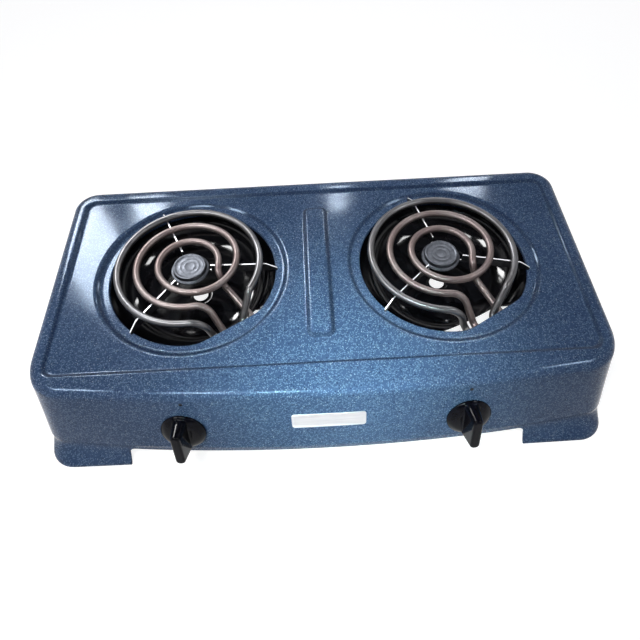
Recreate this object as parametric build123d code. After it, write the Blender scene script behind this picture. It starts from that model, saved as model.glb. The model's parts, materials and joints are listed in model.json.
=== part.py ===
from build123d import *
import math
import os

# Two-burner table-top electric stove. Millimetres, +Z up, front towards -Y, feet on Z = 0.
# Sizes are given about the line through both burner openings, then shifted by BURNER_LINE_Y
# so that the origin is the middle of the footprint.
BURNER_LINE_Y = 28.2

# Fits between pieces
PRESS_FIT = 0.02
HOLE_PLAY = 0.3
CUT_LENGTH = 10.0

# Enamelled body
SHEET = 1.2
RIM_Z = 86.0
RIM_RADIUS = 10.0
TOP_HALF_WIDTH = 272.2
TOP_BACK_Y = 124.0
TOP_FRONT_Y = -144.5
TOP_BOW = 15.89
TOP_CORNER = 26.0
TOP_FRONT_CORNER = 40.0
CREASE_Z = 20.0
CREASE_HALF_WIDTH = 274.0
CREASE_BACK_Y = 125.0
CREASE_FRONT_Y = -168.5
CREASE_BOW = 21.07
CREASE_CORNER = 24.0
BASE_HALF_WIDTH = 275.0
BASE_BACK_Y = 128.0
BASE_FRONT_Y = -171.5
BASE_BOW = 1.56
BASE_CORNER = 26.0
COVE_Z = 10.0
COVE_SHARE = 0.22
BAND_HEIGHT = 6.5
ARCH_CORNER = 6.0
FRONT_ARCH_HALF = 193.0
SIDE_ARCH_Y = (-84.0, 62.0)

# Sunken panel and centre rib
PANEL_Z = 83.0
PANEL_HALF_WIDTH = 260.0
PANEL_FRONT_Y = -115.8
PANEL_BACK_Y = 108.5
PANEL_CORNER = 14.0
PANEL_SIDE_RUN = 7.6
PANEL_FRONT_RUN = 4.6
RIB_HALF_WIDTH = 14.5
RIB_FRONT_Y = -88.0
RIB_BACK_Y = 83.0
RIB_CORNER = 9.0
RIB_RISE = 3.6
RIB_STEP_RUN = 4.5

# Burner openings
OPENING_X = 129.0
RING_R = 100.5
RING_EDGE_R = 98.5
RING_FOOT_R = 93.5
RING_SLOPE = 20.0
RING_LAP = 0.5
FLANGE_Z = 79.5
LIP_R = 85.0
LIP_BEND = 1.4
LIP_DROP = 4.0
LEDGE_ANGLE = -60.0
LEDGE_CHORD = 78.5
LEDGE_LIP = 2.0
LEDGE_LIP_SHORT = 2.6
LEDGE_LAP_R = 90.5
RELIEF_ANGLE = -60.0
RELIEF_CHORD = 64.0
RELIEF_PLAY = 0.5

# Reflector bowls
BOWL_SHEET = 0.8
BOWL_FLANGE_R = 94.5
BOWL_MOUTH_R = 88.0
BOWL_BOTTOM_R = 44.0
BOWL_BOTTOM_Z = 42.0
BOWL_HOLE_R = 8.0
BOWL_CUT_FROM = 58.0
BOWL_CUT_HALF = 46.0
BOWL_SAG = (0.62, 0.26)
STUD_CIRCLE_R = 91.5
STUD_ANGLES = (30.0, 120.0, 210.0)
STUD_R = 1.5
STUD_LENGTH = 6.0
NUT_ACROSS = 5.5
NUT_HEIGHT = 2.4

# Heating coils, measured from the coil centre and the coil plane
COIL_Z = 92.0
COIL_SHIFT = (-2.0, 3.0)
COIL_TURN = {"left": -5.0, "right": -16.0}
TUBE_R = 3.5
OUTER_R = 72.0
MIDDLE_R = 52.0
INNER_R = 31.5
TURN_CHANGE = (215.0, 430.0)
INNER_TAPER = 2.2
INNER_START = -78.0
INNER_SWEEP = 636.0
OUTER_START = -84.0
LEG_ANGLE = -50.0
LEG_DROP = 24.0
LEG_END = 104.0
LEG_OFFSETS = {"outer_start": -20.0, "inner_start": -10.0, "outer_end": 10.0, "inner_end": 21.5}
LEG_CORNERS = {"outer_start": 75.0, "inner_start": 77.0, "outer_end": 78.0, "inner_end": 78.0}
LEG_BEND = 9.0
OUTER_RUN = 18.0
INNER_RUN = 15.0
LEAVE_RUN = 8.0
DIP_RUN = 12.0
UNDERPASS = (38.0, 18.0)
UNDERPASS_DROP = 14.0

# Support arms and hub
ARM_ANGLES = (3.0, 120.0, 240.0)
ARM_THICK = 1.2
ARM_FOOT_R = (85.5, 89.5)
ARM_FOOT_RISE = (3.5, 6.0)
ARM_SHOULDER = 3.0
ARM_TUCK_DROP = 2.0
ARM_CLEAR = 0.3
ARM_HUB_R = 2.6
ARM_TUCK_R = 21.5
NOTCH_DEPTH = 1.3
NOTCH_GAP = 0.15
CAP_TOP = -2.6
CAP_R = 16.8
CAP_FLANGE_R = 19.6
CAP_FLANGE_TOP = -7.4
CAP_SHEET = 0.8
CAP_RIM = 3.0
CAP_ROLL = 0.8
CAP_ROOT = 0.6
CAP_FLANGE_ROLL = 0.5
HUB_RIVET_R = 2.4
WASHER_R = 9.0
WASHER_THICK = 0.8

# Leg bracket and its hinge, in the leg direction
HINGE_OUT = 84.0
HINGE_DROP = 18.0
PIN_R = 1.5
PIN_HALF = 35.5
EAR_AT = 29.0
PLATE_OUT = 3.6
EAR_THICK = 1.2
EAR_ROUND = 3.0
CLIP_AT = 32.0
CLIP_PLAY = 0.05
CLIP_FLANGE = 11.0
BRACKET_LOW = 30.5
BRACKET_HIGH = 19.6
BEAD_R = 4.4
BEAD_LENGTH = 7.0
TERMINAL_R = 1.3
TERMINAL_END = 118.0

# Knobs and heat switches, along the normal of the front
KNOB_X = 132.0
KNOB_Z = 44.0
SKIRT_R = 21.0
SKIRT_HEIGHT = 6.5
SKIRT_WALL = 1.8
SKIRT_EDGE = 2.0
SKIRT_SHOULDER = (4.0, -0.6)
SKIRT_BROW = (10.0, 0.8)
SKIRT_CROWN = 1.2
KNOB_GAP = 0.8
KNOB_HEIGHT = 25.0
GRIP_WIDTH = 14.0
GRIP_TOP_WIDTH = 9.0
GRIP_LENGTH = 41.0
GRIP_TOP_LENGTH = 36.0
GRIP_ROUND = 0.42
GRIP_EDGE = 2.0
SHAFT_R = 3.0
SHAFT_PLAY = 0.05
SHAFT_BORE_DEPTH = 14.0
KNOB_HUB_R = 5.5
KNOB_SEAT = 16.0
KNOB_HUB_END = 4.0
GRIP_FOOT = 1.6
HOLLOW_EDGE = (3.5, 1.4)
BUSH_R = 4.8
BUSH_OUT = 3.2
SWITCH_SIDE = 34.0
SWITCH_DEPTH = 24.0
SWITCH_GAP = 0.6
SWITCH_CORNER = 4.0
SWITCH_EDGE = 1.5
SCREW_SPREAD = 11.5
SCREW_R = 1.9
SCREW_HEAD_R = 3.4
SCREW_HEAD = 1.8
SCREW_HEAD_EDGE = (0.8, 0.6)
SCREW_HEAD_GAP = 0.15
SCREW_DEPTH = 8.0
TAB_WIDTH = 5.0
TAB_THICK = 0.8
TAB_LENGTH = 7.0
COIL_TABS_X = (-12.0, -4.0, 4.0, 12.0)
COIL_TABS_Y = 5.0
SUPPLY_TABS_X = (-7.0, 7.0)
SUPPLY_TABS_Y = -11.0

# Mains connection at the rear wall
INLET_X = 62.0
INLET_Z = 42.0
INLET_R = 7.0
GROMMET_BORE_R = 4.2
GROMMET_FLANGE_R = 9.5
GROMMET_FLANGE = 3.0
GROMMET_EDGE = (1.0, 1.5)
BLOCK_SIZE = (40.0, 16.0, 14.0)
BLOCK_Z = 46.0
BLOCK_EDGE = 1.2
BLOCK_SCREW_X = 8.0
BLOCK_SCREW_LENGTH = 13.0
CLAMP_R = 2.6
CLAMP_DEPTH = 4.0
CLAMP_PITCH = 15.0
CLAMP_SLOT = (0.8, 1.2)

# Inner wiring
WIRE_R = 1.2
WIRE_BEND = 3.5
TERMINAL_REACH = 7.0
TAB_REACH = 9.0
SUPPLY_Z = 20.0
SUPPLY_START = (6.0, 4.0)
SUPPLY_LANES = (9.0, 14.0)
SUPPLY_TURNS_Y = (62.0, -66.0, -98.0)
SUPPLY_TURN_X = 60.0
SUPPLY_STEP = 6.0

SIDES = {"left": -1.0, "right": 1.0}


def outline(half_width, back_y, front_y, bow, front_corner, back_corner, z):
    """Plan face with straight back and sides, a bowed front and rounded corners."""
    side_y = front_y + bow
    edges = [
        Line((-half_width, back_y), (half_width, back_y)),
        Line((half_width, back_y), (half_width, side_y)),
        ThreePointArc((half_width, side_y), (0, front_y), (-half_width, side_y)),
        Line((-half_width, side_y), (-half_width, back_y)),
    ]
    face = make_face(edges)
    face = fillet(face.vertices().filter_by(lambda v: v.Y > 0), back_corner)
    face = fillet(face.vertices().filter_by(lambda v: v.Y < side_y + 0.01), front_corner)
    return Pos(0, 0, z) * face


def crease_outline(inset, z):
    """Plan of the body where the sloping front ends."""
    return outline(CREASE_HALF_WIDTH - inset, CREASE_BACK_Y - inset, CREASE_FRONT_Y + inset,
                   CREASE_BOW, CREASE_CORNER - inset, TOP_CORNER - inset, z)


def between(share, from_value, to_value):
    """Value a given share of the way between two others."""
    return from_value + share * (to_value - from_value)


def skirt_outline(share, inset, z):
    """Plan of the flared skirt, a share of the way from the crease to the table."""
    return outline(between(share, CREASE_HALF_WIDTH, BASE_HALF_WIDTH) - inset,
                   between(share, CREASE_BACK_Y, BASE_BACK_Y) - inset,
                   between(share, CREASE_FRONT_Y, BASE_FRONT_Y) + inset,
                   between(share, CREASE_BOW, BASE_BOW),
                   between(share, CREASE_CORNER, BASE_CORNER) - inset,
                   TOP_CORNER - inset, z)


def body_solid(inset):
    """Body above the table, filled, shrunk inwards by inset."""
    top_z = RIM_Z - inset
    top = outline(TOP_HALF_WIDTH - inset, TOP_BACK_Y - inset, TOP_FRONT_Y + inset, TOP_BOW,
                  TOP_FRONT_CORNER - inset, TOP_CORNER - inset, top_z)
    upper = loft([crease_outline(inset, CREASE_Z), top], ruled=True)
    rim_edges = upper.edges().filter_by(lambda e: e.center().Z > top_z - 0.01)
    upper = fillet(rim_edges, RIM_RADIUS - inset)
    skirt = loft([skirt_outline(0.0, inset, CREASE_Z), skirt_outline(COVE_SHARE, inset, COVE_Z),
                  skirt_outline(1.0, inset, 0.0)])
    return upper + skirt


def panel_pocket(grow, drop):
    """Sunken panel as a solid to cut, grown and lowered for the underside of the sheet."""
    over = 1.0
    wide = 1.0 + over / (RIM_Z - PANEL_Z)
    side_run = wide * PANEL_SIDE_RUN
    front_run = wide * PANEL_FRONT_RUN
    width = 2 * (PANEL_HALF_WIDTH - PANEL_SIDE_RUN + grow)
    depth = PANEL_BACK_Y - PANEL_FRONT_Y + 2 * (grow - PANEL_FRONT_RUN)
    corner = PANEL_CORNER - (PANEL_SIDE_RUN + PANEL_FRONT_RUN) / 2 + grow
    low = RectangleRounded(width, depth, corner)
    high = RectangleRounded(width + 2 * side_run, depth + 2 * front_run, corner + (side_run + front_run) / 2)
    centre = Pos(0, (PANEL_FRONT_Y + PANEL_BACK_Y) / 2, -drop)
    return centre * loft([Pos(0, 0, PANEL_Z) * low, Pos(0, 0, RIM_Z + over) * high], ruled=True)


def rib_solid(inset, low_z):
    """Raised rib between the burners."""
    run = RIB_STEP_RUN
    base = RectangleRounded(2 * (RIB_HALF_WIDTH - inset), RIB_BACK_Y - RIB_FRONT_Y - 2 * inset,
                            RIB_CORNER - inset)
    crown = RectangleRounded(2 * (RIB_HALF_WIDTH - run - inset),
                             RIB_BACK_Y - RIB_FRONT_Y - 2 * (run + inset), RIB_CORNER - run)
    at = (0, (RIB_FRONT_Y + RIB_BACK_Y) / 2)
    crown_z = PANEL_Z + RIB_RISE - inset
    rise = loft([Pos(*at, PANEL_Z - inset) * base, Pos(*at, crown_z) * crown], ruled=True)
    return rise + extrude(Pos(*at, low_z) * base, PANEL_Z - inset - low_z)


def ring_section():
    """Stepped ring of an opening, as a half section in the XZ plane."""
    under = PANEL_Z - SHEET
    flange_under = FLANGE_Z - SHEET
    lip_z = FLANGE_Z - LIP_DROP
    slope = SHEET * math.tan(math.radians(RING_SLOPE))
    points = [
        (RING_R + RING_LAP, PANEL_Z), (RING_EDGE_R, PANEL_Z), (RING_FOOT_R, FLANGE_Z),
        (LIP_R + LIP_BEND, FLANGE_Z), (LIP_R, FLANGE_Z - LIP_BEND), (LIP_R, lip_z),
        (LIP_R + SHEET, lip_z), (LIP_R + SHEET, flange_under), (RING_FOOT_R + slope, flange_under),
        (RING_EDGE_R + slope, under), (RING_R + RING_LAP, under),
    ]
    return make_face(Polyline([(r, 0, z) for r, z in points], close=True))


def ledge_solid():
    """Chord-shaped ledge across the front right of an opening, at the opening's centre."""
    half_plane = Pos((LEDGE_CHORD + RING_R) / 2, 0, 0) * Rectangle(RING_R - LEDGE_CHORD, 2 * RING_R)
    plate = extrude(Pos(0, 0, FLANGE_Z - SHEET) * (Circle(LEDGE_LAP_R) & half_plane), SHEET)
    reach = math.sqrt(LIP_R ** 2 - LEDGE_CHORD ** 2) - LEDGE_LIP_SHORT
    turned = Pos(LEDGE_CHORD + SHEET / 2, 0, FLANGE_Z - LEDGE_LIP / 2) * Box(SHEET, 2 * reach, LEDGE_LIP)
    return Rot(0, 0, LEDGE_ANGLE) * (plate + turned)


def lip_relief():
    """Space round the hinge, where the lip of the opening is left out."""
    low = FLANGE_Z - LIP_DROP - 1.0
    height = FLANGE_Z - SHEET - low
    block = Pos(RELIEF_CHORD + RING_R / 4, 0, low + height / 2) * Box(RING_R / 2, 2 * RING_R, height)
    keep = Pos(0, 0, low + height / 2) * Cylinder(LIP_R + SHEET + RELIEF_PLAY, height)
    return Rot(0, 0, RELIEF_ANGLE) * (block & keep)


def front_point(x, z):
    """Point of the front surface at a given x and height."""
    share = (z - CREASE_Z) / (RIM_Z - CREASE_Z)
    front = between(share, CREASE_FRONT_Y, TOP_FRONT_Y)
    bow = between(share, CREASE_BOW, TOP_BOW)
    half = between(share, CREASE_HALF_WIDTH, TOP_HALF_WIDTH)
    radius = (half ** 2 + bow ** 2) / (2 * bow)
    return Vector(x, front + radius - math.sqrt(radius ** 2 - x ** 2), z)


def knob_plane(side):
    """Plane on the front at a knob, its normal pointing out of the front."""
    x = SIDES[side] * KNOB_X
    at = front_point(x, KNOB_Z)
    across = front_point(x + 1, KNOB_Z) - front_point(x - 1, KNOB_Z)
    up = front_point(x, KNOB_Z + 1) - front_point(x, KNOB_Z - 1)
    return Plane(origin=at, x_dir=across, z_dir=across.cross(up))


def make_top_shell():
    """Drawn and enamelled body with its openings, feet and holes."""
    outer = body_solid(0.0) - panel_pocket(0.0, 0.0)
    inner = body_solid(SHEET) - panel_pocket(SHEET, SHEET)
    shell = outer - inner
    shell = shell + rib_solid(0.0, PANEL_Z - SHEET) - rib_solid(SHEET, PANEL_Z - 2 * SHEET)
    ring = revolve(ring_section(), Axis.Z, 360)
    for sign in SIDES.values():
        at = Pos(sign * OPENING_X, 0, 0)
        shell = shell - at * Pos(0, 0, PANEL_Z) * Cylinder(RING_R, 4 * SHEET)
        shell = shell + at * (ring - lip_relief() + ledge_solid())
    return cut_arches(cut_fixing_holes(shell))


def arch_profile(half, low_z):
    """Rounded gap under the skirt between two feet."""
    height = CREASE_Z - BAND_HEIGHT - low_z
    gap = Pos(0, low_z + height / 2) * Rectangle(2 * half, height)
    return fillet(gap.vertices().filter_by(lambda v: v.Y > 0), ARCH_CORNER)


def cut_arches(shell):
    """Open the skirt between the feet on all four sides."""
    low_z = -1.0
    long_gap = extrude(Plane.XZ * arch_profile(FRONT_ARCH_HALF, low_z), 200, both=True)
    side_half = (SIDE_ARCH_Y[1] - SIDE_ARCH_Y[0]) / 2
    side_mid = (SIDE_ARCH_Y[1] + SIDE_ARCH_Y[0]) / 2
    short_gap = extrude(Plane.YZ * arch_profile(side_half, low_z), 300, both=True)
    return shell - long_gap - Pos(0, side_mid, 0) * short_gap


def cut_fixing_holes(shell):
    """Holes for the switches in the front and for the mains parts in the rear wall."""
    for side in SIDES:
        face = knob_plane(side).location
        shell = shell - face * Cylinder(BUSH_R + HOLE_PLAY, CUT_LENGTH)
        for across in (-SCREW_SPREAD, SCREW_SPREAD):
            shell = shell - face * Pos(across, 0, 0) * Cylinder(SCREW_R + HOLE_PLAY, CUT_LENGTH)
    rear = Pos(0, TOP_BACK_Y, 0) * Rot(90, 0, 0)
    shell = shell - rear * Pos(INLET_X, INLET_Z, 0) * Cylinder(INLET_R, CUT_LENGTH)
    for across in (-BLOCK_SCREW_X, BLOCK_SCREW_X):
        shell = shell - rear * Pos(across, BLOCK_Z, 0) * Cylinder(SCREW_R, CUT_LENGTH)
    return shell


def save(node, shape):
    """Write one piece, moved to the frame of the whole object."""
    export_step(Pos(0, BURNER_LINE_Y, 0) * shape, "parts/" + node + ".step")


def make_reflector_bowl(side):
    """Black bowl under an opening, with its centre hole, stud holes and terminal cut-out."""
    half = BOWL_SHEET / 2
    flange_z = FLANGE_Z - SHEET - half
    low_z = BOWL_BOTTOM_Z + half
    sag = (between(BOWL_SAG[0], BOWL_BOTTOM_R, BOWL_MOUTH_R), between(BOWL_SAG[1], low_z, flange_z))
    path = Line((BOWL_FLANGE_R, flange_z), (BOWL_MOUTH_R, flange_z))
    path = path + ThreePointArc((BOWL_MOUTH_R, flange_z), sag, (BOWL_BOTTOM_R, low_z))
    path = path + Line((BOWL_BOTTOM_R, low_z), (BOWL_HOLE_R, low_z))
    bowl = revolve(Plane.XZ * trace(path, BOWL_SHEET), Axis.Z, 360)
    turn = LEG_ANGLE + COIL_TURN[side]
    cut = Box(BOWL_FLANGE_R, 2 * BOWL_CUT_HALF, 2 * COIL_Z)
    bowl = bowl - Rot(0, 0, turn) * Pos(BOWL_CUT_FROM + BOWL_FLANGE_R / 2, 0, BOWL_BOTTOM_Z) * cut
    for at in stud_places():
        bowl = bowl - at * Cylinder(STUD_R + HOLE_PLAY, CUT_LENGTH)
    return opening(side) * bowl


def opening(side):
    """Place of a burner opening."""
    return Pos(SIDES[side] * OPENING_X, 0, 0)


def stud_places():
    """Places of the weld studs under an opening's flange."""
    return [Rot(0, 0, a) * Pos(STUD_CIRCLE_R, 0, FLANGE_Z - SHEET) for a in STUD_ANGLES]


def make_bowl_studs(side):
    """Studs welded under the flange."""
    stud = Pos(0, 0, -STUD_LENGTH / 2) * Cylinder(STUD_R, STUD_LENGTH)
    return opening(side) * Compound([at * stud for at in stud_places()])


def make_bowl_nuts(side):
    """Nuts that hold the bowl on its studs."""
    hexagon = RegularPolygon(NUT_ACROSS / 2, 6, major_radius=False, rotation=30)
    nut = extrude(hexagon - Circle(STUD_R + PRESS_FIT), NUT_HEIGHT)
    nut = Pos(0, 0, -BOWL_SHEET - NUT_HEIGHT) * nut
    return opening(side) * Compound([at * nut for at in stud_places()])


def coil_place(side):
    """Place of a coil: its centre, its plane and its turn in the opening."""
    return opening(side) * Pos(*COIL_SHIFT, COIL_Z) * Rot(0, 0, COIL_TURN[side])


def polar(radius, angle, z=0.0):
    """Point of a coil's plan."""
    return Vector(radius * math.cos(math.radians(angle)), radius * math.sin(math.radians(angle)), z)


def leg_point(out, across, z):
    """Point given along and across the direction in which the legs leave the coil."""
    return polar(out, LEG_ANGLE, z) + polar(across, LEG_ANGLE + 90)


def leg_corner(name):
    """Point where a leg turns level."""
    return leg_point(LEG_CORNERS[name], LEG_OFFSETS[name], -LEG_DROP)


def leg_tip(name):
    """Free end of a leg."""
    return leg_point(LEG_END, LEG_OFFSETS[name], -LEG_DROP)


def bent(*points):
    """Line through points with the bend of a tube at every corner."""
    return FilletPolyline(*points, radius=LEG_BEND)


def spiral_radius(turned):
    """Radius of the two-turn tube after turning clockwise from its start, in degrees."""
    share = min(max((turned - TURN_CHANGE[0]) / (TURN_CHANGE[1] - TURN_CHANGE[0]), 0.0), 1.0)
    drop = (MIDDLE_R - INNER_R) * (1 - math.cos(math.pi * share)) / 2
    return MIDDLE_R - drop - INNER_TAPER * (turned / INNER_SWEEP - 0.5)


def spiral_point(turned):
    """Point of the two-turn tube."""
    return polar(spiral_radius(turned), INNER_START - turned)


def spiral_tangent(turned):
    """Direction of the two-turn tube."""
    step = 0.05
    return (spiral_point(turned + step) - spiral_point(turned - step)).normalized()


def biarc(start, start_dir, end, end_dir):
    """Two tangent arcs from one point and direction to another."""
    chord = end - start
    both = start_dir + end_dir
    turn = 2 * (1 - start_dir.dot(end_dir))
    along = chord.dot(both)
    reach = (math.sqrt(along ** 2 + turn * chord.dot(chord)) - along) / turn
    first = start + start_dir * reach
    second = end - end_dir * reach
    middle = (first + second) / 2
    return [TangentArc(start, middle, tangent=start_dir),
            TangentArc(middle, end, tangent=(second - first).normalized())]


def outer_path():
    """Line of the one-turn tube, from one leg round to the other."""
    start = polar(OUTER_R, OUTER_START)
    corner = start + polar(OUTER_RUN, OUTER_START + 90)
    leg_in = bent(leg_tip("outer_start"), leg_corner("outer_start"), corner, start)
    out = LEG_CORNERS["outer_end"]
    across = LEG_OFFSETS["outer_end"]
    lean = math.atan2(across, out) + math.acos(OUTER_R / math.hypot(out, across))
    leave = LEG_ANGLE + math.degrees(lean)
    leave_at = polar(OUTER_R, leave)
    corner = leave_at + polar(LEAVE_RUN, leave - 90)
    leg_out = bent(leave_at, corner, leg_corner("outer_end"), leg_tip("outer_end"))
    turned = 360 - (leave - OUTER_START)
    quarters = 4
    ring = []
    for k in range(quarters):
        marks = [OUTER_START - turned * (k + half / 2) / quarters for half in range(3)]
        ring.append(ThreePointArc(*[polar(OUTER_R, mark) for mark in marks]))
    return joined([leg_in, *ring, leg_out])


def inner_path():
    """Line of the two-turn tube, whose inner end dips under the turns to its leg."""
    start = spiral_point(0.0)
    corner = start - spiral_tangent(0.0) * INNER_RUN
    leg_in = bent(leg_tip("inner_start"), leg_corner("inner_start"), corner, start)
    spans = 8
    marks = [INNER_SWEEP * k / spans for k in range(spans + 1)]
    turns = []
    for a, b in zip(marks[:-1], marks[1:]):
        turns += biarc(spiral_point(a), spiral_tangent(a), spiral_point(b), spiral_tangent(b))
    end = spiral_point(INNER_SWEEP)
    corner = end + spiral_tangent(INNER_SWEEP) * DIP_RUN
    under = leg_point(*UNDERPASS, -UNDERPASS_DROP)
    leg_out = bent(end, corner, under, leg_corner("inner_end"), leg_tip("inner_end"))
    return joined([leg_in, *turns, leg_out])


def joined(pieces):
    """One wire of all edges, in order."""
    edges = []
    for piece in pieces:
        edges += piece.edges()
    return Wire(edges)


def least_gap(path, radius):
    """Least clear distance of a tube to itself, on points along its line."""
    count = 260
    points = [path.position_at(k / (count - 1)) for k in range(count)]
    apart = math.ceil(6 * radius / (path.length / count))
    gaps = [(points[i] - points[j]).length for i in range(count) for j in range(i + apart, count)]
    return min(gaps) - 2 * radius


def tube(path, radius):
    """Round bar along a line."""
    section = Plane(origin=path.position_at(0), z_dir=path.tangent_at(0)) * Circle(radius)
    return sweep(section, path=path)


def arm_crossings(angle):
    """Radii at which the tubes cross a support arm."""
    first = (INNER_START - angle) % 360
    second = min(first + 360, INNER_SWEEP)
    return [OUTER_R, spiral_radius(first), spiral_radius(second)]


def make_support_arm(side, angle):
    """Upright blade from the hub to the flange, notched for the tubes."""
    low = FLANGE_Z - COIL_Z + ARM_CLEAR
    top = NOTCH_DEPTH - TUBE_R
    tuck = CAP_FLANGE_TOP - ARM_TUCK_DROP
    inner_foot, outer_foot = ARM_FOOT_R
    toe, heel = ARM_FOOT_RISE
    shoulder = OUTER_R + TUBE_R + ARM_SHOULDER
    points = [(ARM_HUB_R, low), (outer_foot, low), (outer_foot, low + toe), (inner_foot, low + heel),
              (shoulder, top), (ARM_TUCK_R, top), (ARM_TUCK_R, tuck), (ARM_HUB_R, tuck)]
    blade = extrude(Plane.XZ * make_face(Polyline(points, close=True)), ARM_THICK / 2, both=True)
    for radius in arm_crossings(angle):
        blade = blade - Pos(radius, 0, 0) * Rot(90, 0, 0) * Cylinder(TUBE_R + NOTCH_GAP, 4 * ARM_THICK)
    return coil_place(side) * Rot(0, 0, angle) * blade


def turned_part(points):
    """Solid of revolution from a half section of radii and heights."""
    return revolve(Plane.XZ * make_face(Polyline(points, close=True)), Axis.Z, 360)


def make_medallion(side):
    """Stepped hub cap with a rolled bright rim and a lower flange."""
    inside = CAP_R - CAP_SHEET
    face = CAP_TOP - CAP_ROLL
    flange = CAP_FLANGE_TOP
    low = flange - 2 * CAP_SHEET
    points = [
        (0, face), (CAP_R - CAP_RIM, face), (CAP_R - CAP_RIM + CAP_ROLL, CAP_TOP),
        (CAP_R - CAP_ROLL, CAP_TOP), (CAP_R, face), (CAP_R, flange + CAP_ROOT), (CAP_R + CAP_ROOT, flange),
        (CAP_FLANGE_R - CAP_FLANGE_ROLL, flange), (CAP_FLANGE_R, flange - CAP_FLANGE_ROLL),
        (CAP_FLANGE_R, low), (CAP_FLANGE_R - CAP_SHEET, low), (CAP_FLANGE_R - CAP_SHEET, flange - CAP_SHEET),
        (inside, flange - CAP_SHEET), (inside, face - CAP_SHEET), (0, face - CAP_SHEET),
    ]
    return coil_place(side) * turned_part(points)


def make_hub_rivet(side):
    """Shouldered rivet that clamps the inner ends of the arms under the cap."""
    low = FLANGE_Z - COIL_Z + ARM_CLEAR
    high = CAP_FLANGE_TOP - ARM_TUCK_DROP
    head = CAP_TOP - 2 * CAP_SHEET
    points = [(0, low - WASHER_THICK), (WASHER_R, low - WASHER_THICK), (WASHER_R, low), (HUB_RIVET_R, low),
              (HUB_RIVET_R, high), (WASHER_R, high), (WASHER_R, high + WASHER_THICK),
              (HUB_RIVET_R, high + WASHER_THICK), (HUB_RIVET_R, head), (0, head)]
    return coil_place(side) * turned_part(points)


def leg_place(side):
    """Place of the leg bracket: X out along the legs, Y across them, Z up from the coil plane."""
    return coil_place(side) * Rot(0, 0, LEG_ANGLE)


def make_terminal_bracket(side):
    """Plate that holds the four legs, with two ears for the hinge pin."""
    plate_x = HINGE_OUT + PLATE_OUT
    height = BRACKET_LOW - BRACKET_HIGH
    plate = Pos(plate_x, 0, -BRACKET_LOW + height / 2) * Box(EAR_THICK, 2 * EAR_AT + EAR_THICK, height)
    hole = Rot(0, 90, 0) * Cylinder(TUBE_R + PRESS_FIT, CUT_LENGTH)
    for offset in LEG_OFFSETS.values():
        plate = plate - Pos(plate_x, offset, -LEG_DROP) * hole
    eye = Pos(HINGE_OUT, -HINGE_DROP) * Circle(EAR_ROUND)
    toe = Pos(plate_x, -BRACKET_LOW + EAR_THICK / 2) * Circle(EAR_THICK / 2)
    ear = make_hull((eye + toe).edges()) - Pos(HINGE_OUT, -HINGE_DROP) * Circle(PIN_R + PRESS_FIT / 2)
    ear = extrude(Plane.XZ * ear, EAR_THICK / 2, both=True)
    return leg_place(side) * (plate + Pos(0, EAR_AT, 0) * ear + Pos(0, -EAR_AT, 0) * ear)


def make_hinge_pin(side):
    """Pin on which the coil tips up."""
    pin = Pos(HINGE_OUT, 0, -HINGE_DROP) * Rot(90, 0, 0) * Cylinder(PIN_R, 2 * PIN_HALF)
    return leg_place(side) * pin


def make_hinge_clips(side):
    """Two angle clips welded under the flange, each with an eye for the pin."""
    roof = FLANGE_Z - SHEET - COIL_Z
    eye = Pos(HINGE_OUT, -HINGE_DROP) * Circle(EAR_ROUND)
    neck = Pos(HINGE_OUT, (roof - HINGE_DROP) / 2) * Rectangle(2 * EAR_ROUND, roof + HINGE_DROP)
    tab = eye + neck - Pos(HINGE_OUT, -HINGE_DROP) * Circle(PIN_R + CLIP_PLAY)
    tab = extrude(Plane.XZ * tab, EAR_THICK / 2, both=True)
    foot = Pos(HINGE_OUT, CLIP_FLANGE / 2, roof - EAR_THICK / 2)
    clip = tab + foot * Box(2 * EAR_ROUND, CLIP_FLANGE + EAR_THICK, EAR_THICK)
    pair = [Pos(0, CLIP_AT, 0) * clip, Pos(0, -CLIP_AT, 0) * mirror(clip, Plane.XZ)]
    return leg_place(side) * Compound(pair)


def leg_ends():
    """Places at the ends of the four legs, pointing out along them."""
    return [Pos(LEG_END, offset, -LEG_DROP) * Rot(0, 90, 0) for offset in LEG_OFFSETS.values()]


def make_terminal_insulators(side):
    """Ceramic beads that close the ends of the tubes."""
    bead = extrude(Circle(BEAD_R) - Circle(TERMINAL_R + PRESS_FIT), BEAD_LENGTH)
    return leg_place(side) * Compound([at * bead for at in leg_ends()])


def make_terminal_pins(side):
    """Conductors that come out of the beads."""
    pin = extrude(Circle(TERMINAL_R), TERMINAL_END - LEG_END)
    return leg_place(side) * Compound([at * pin for at in leg_ends()])


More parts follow.
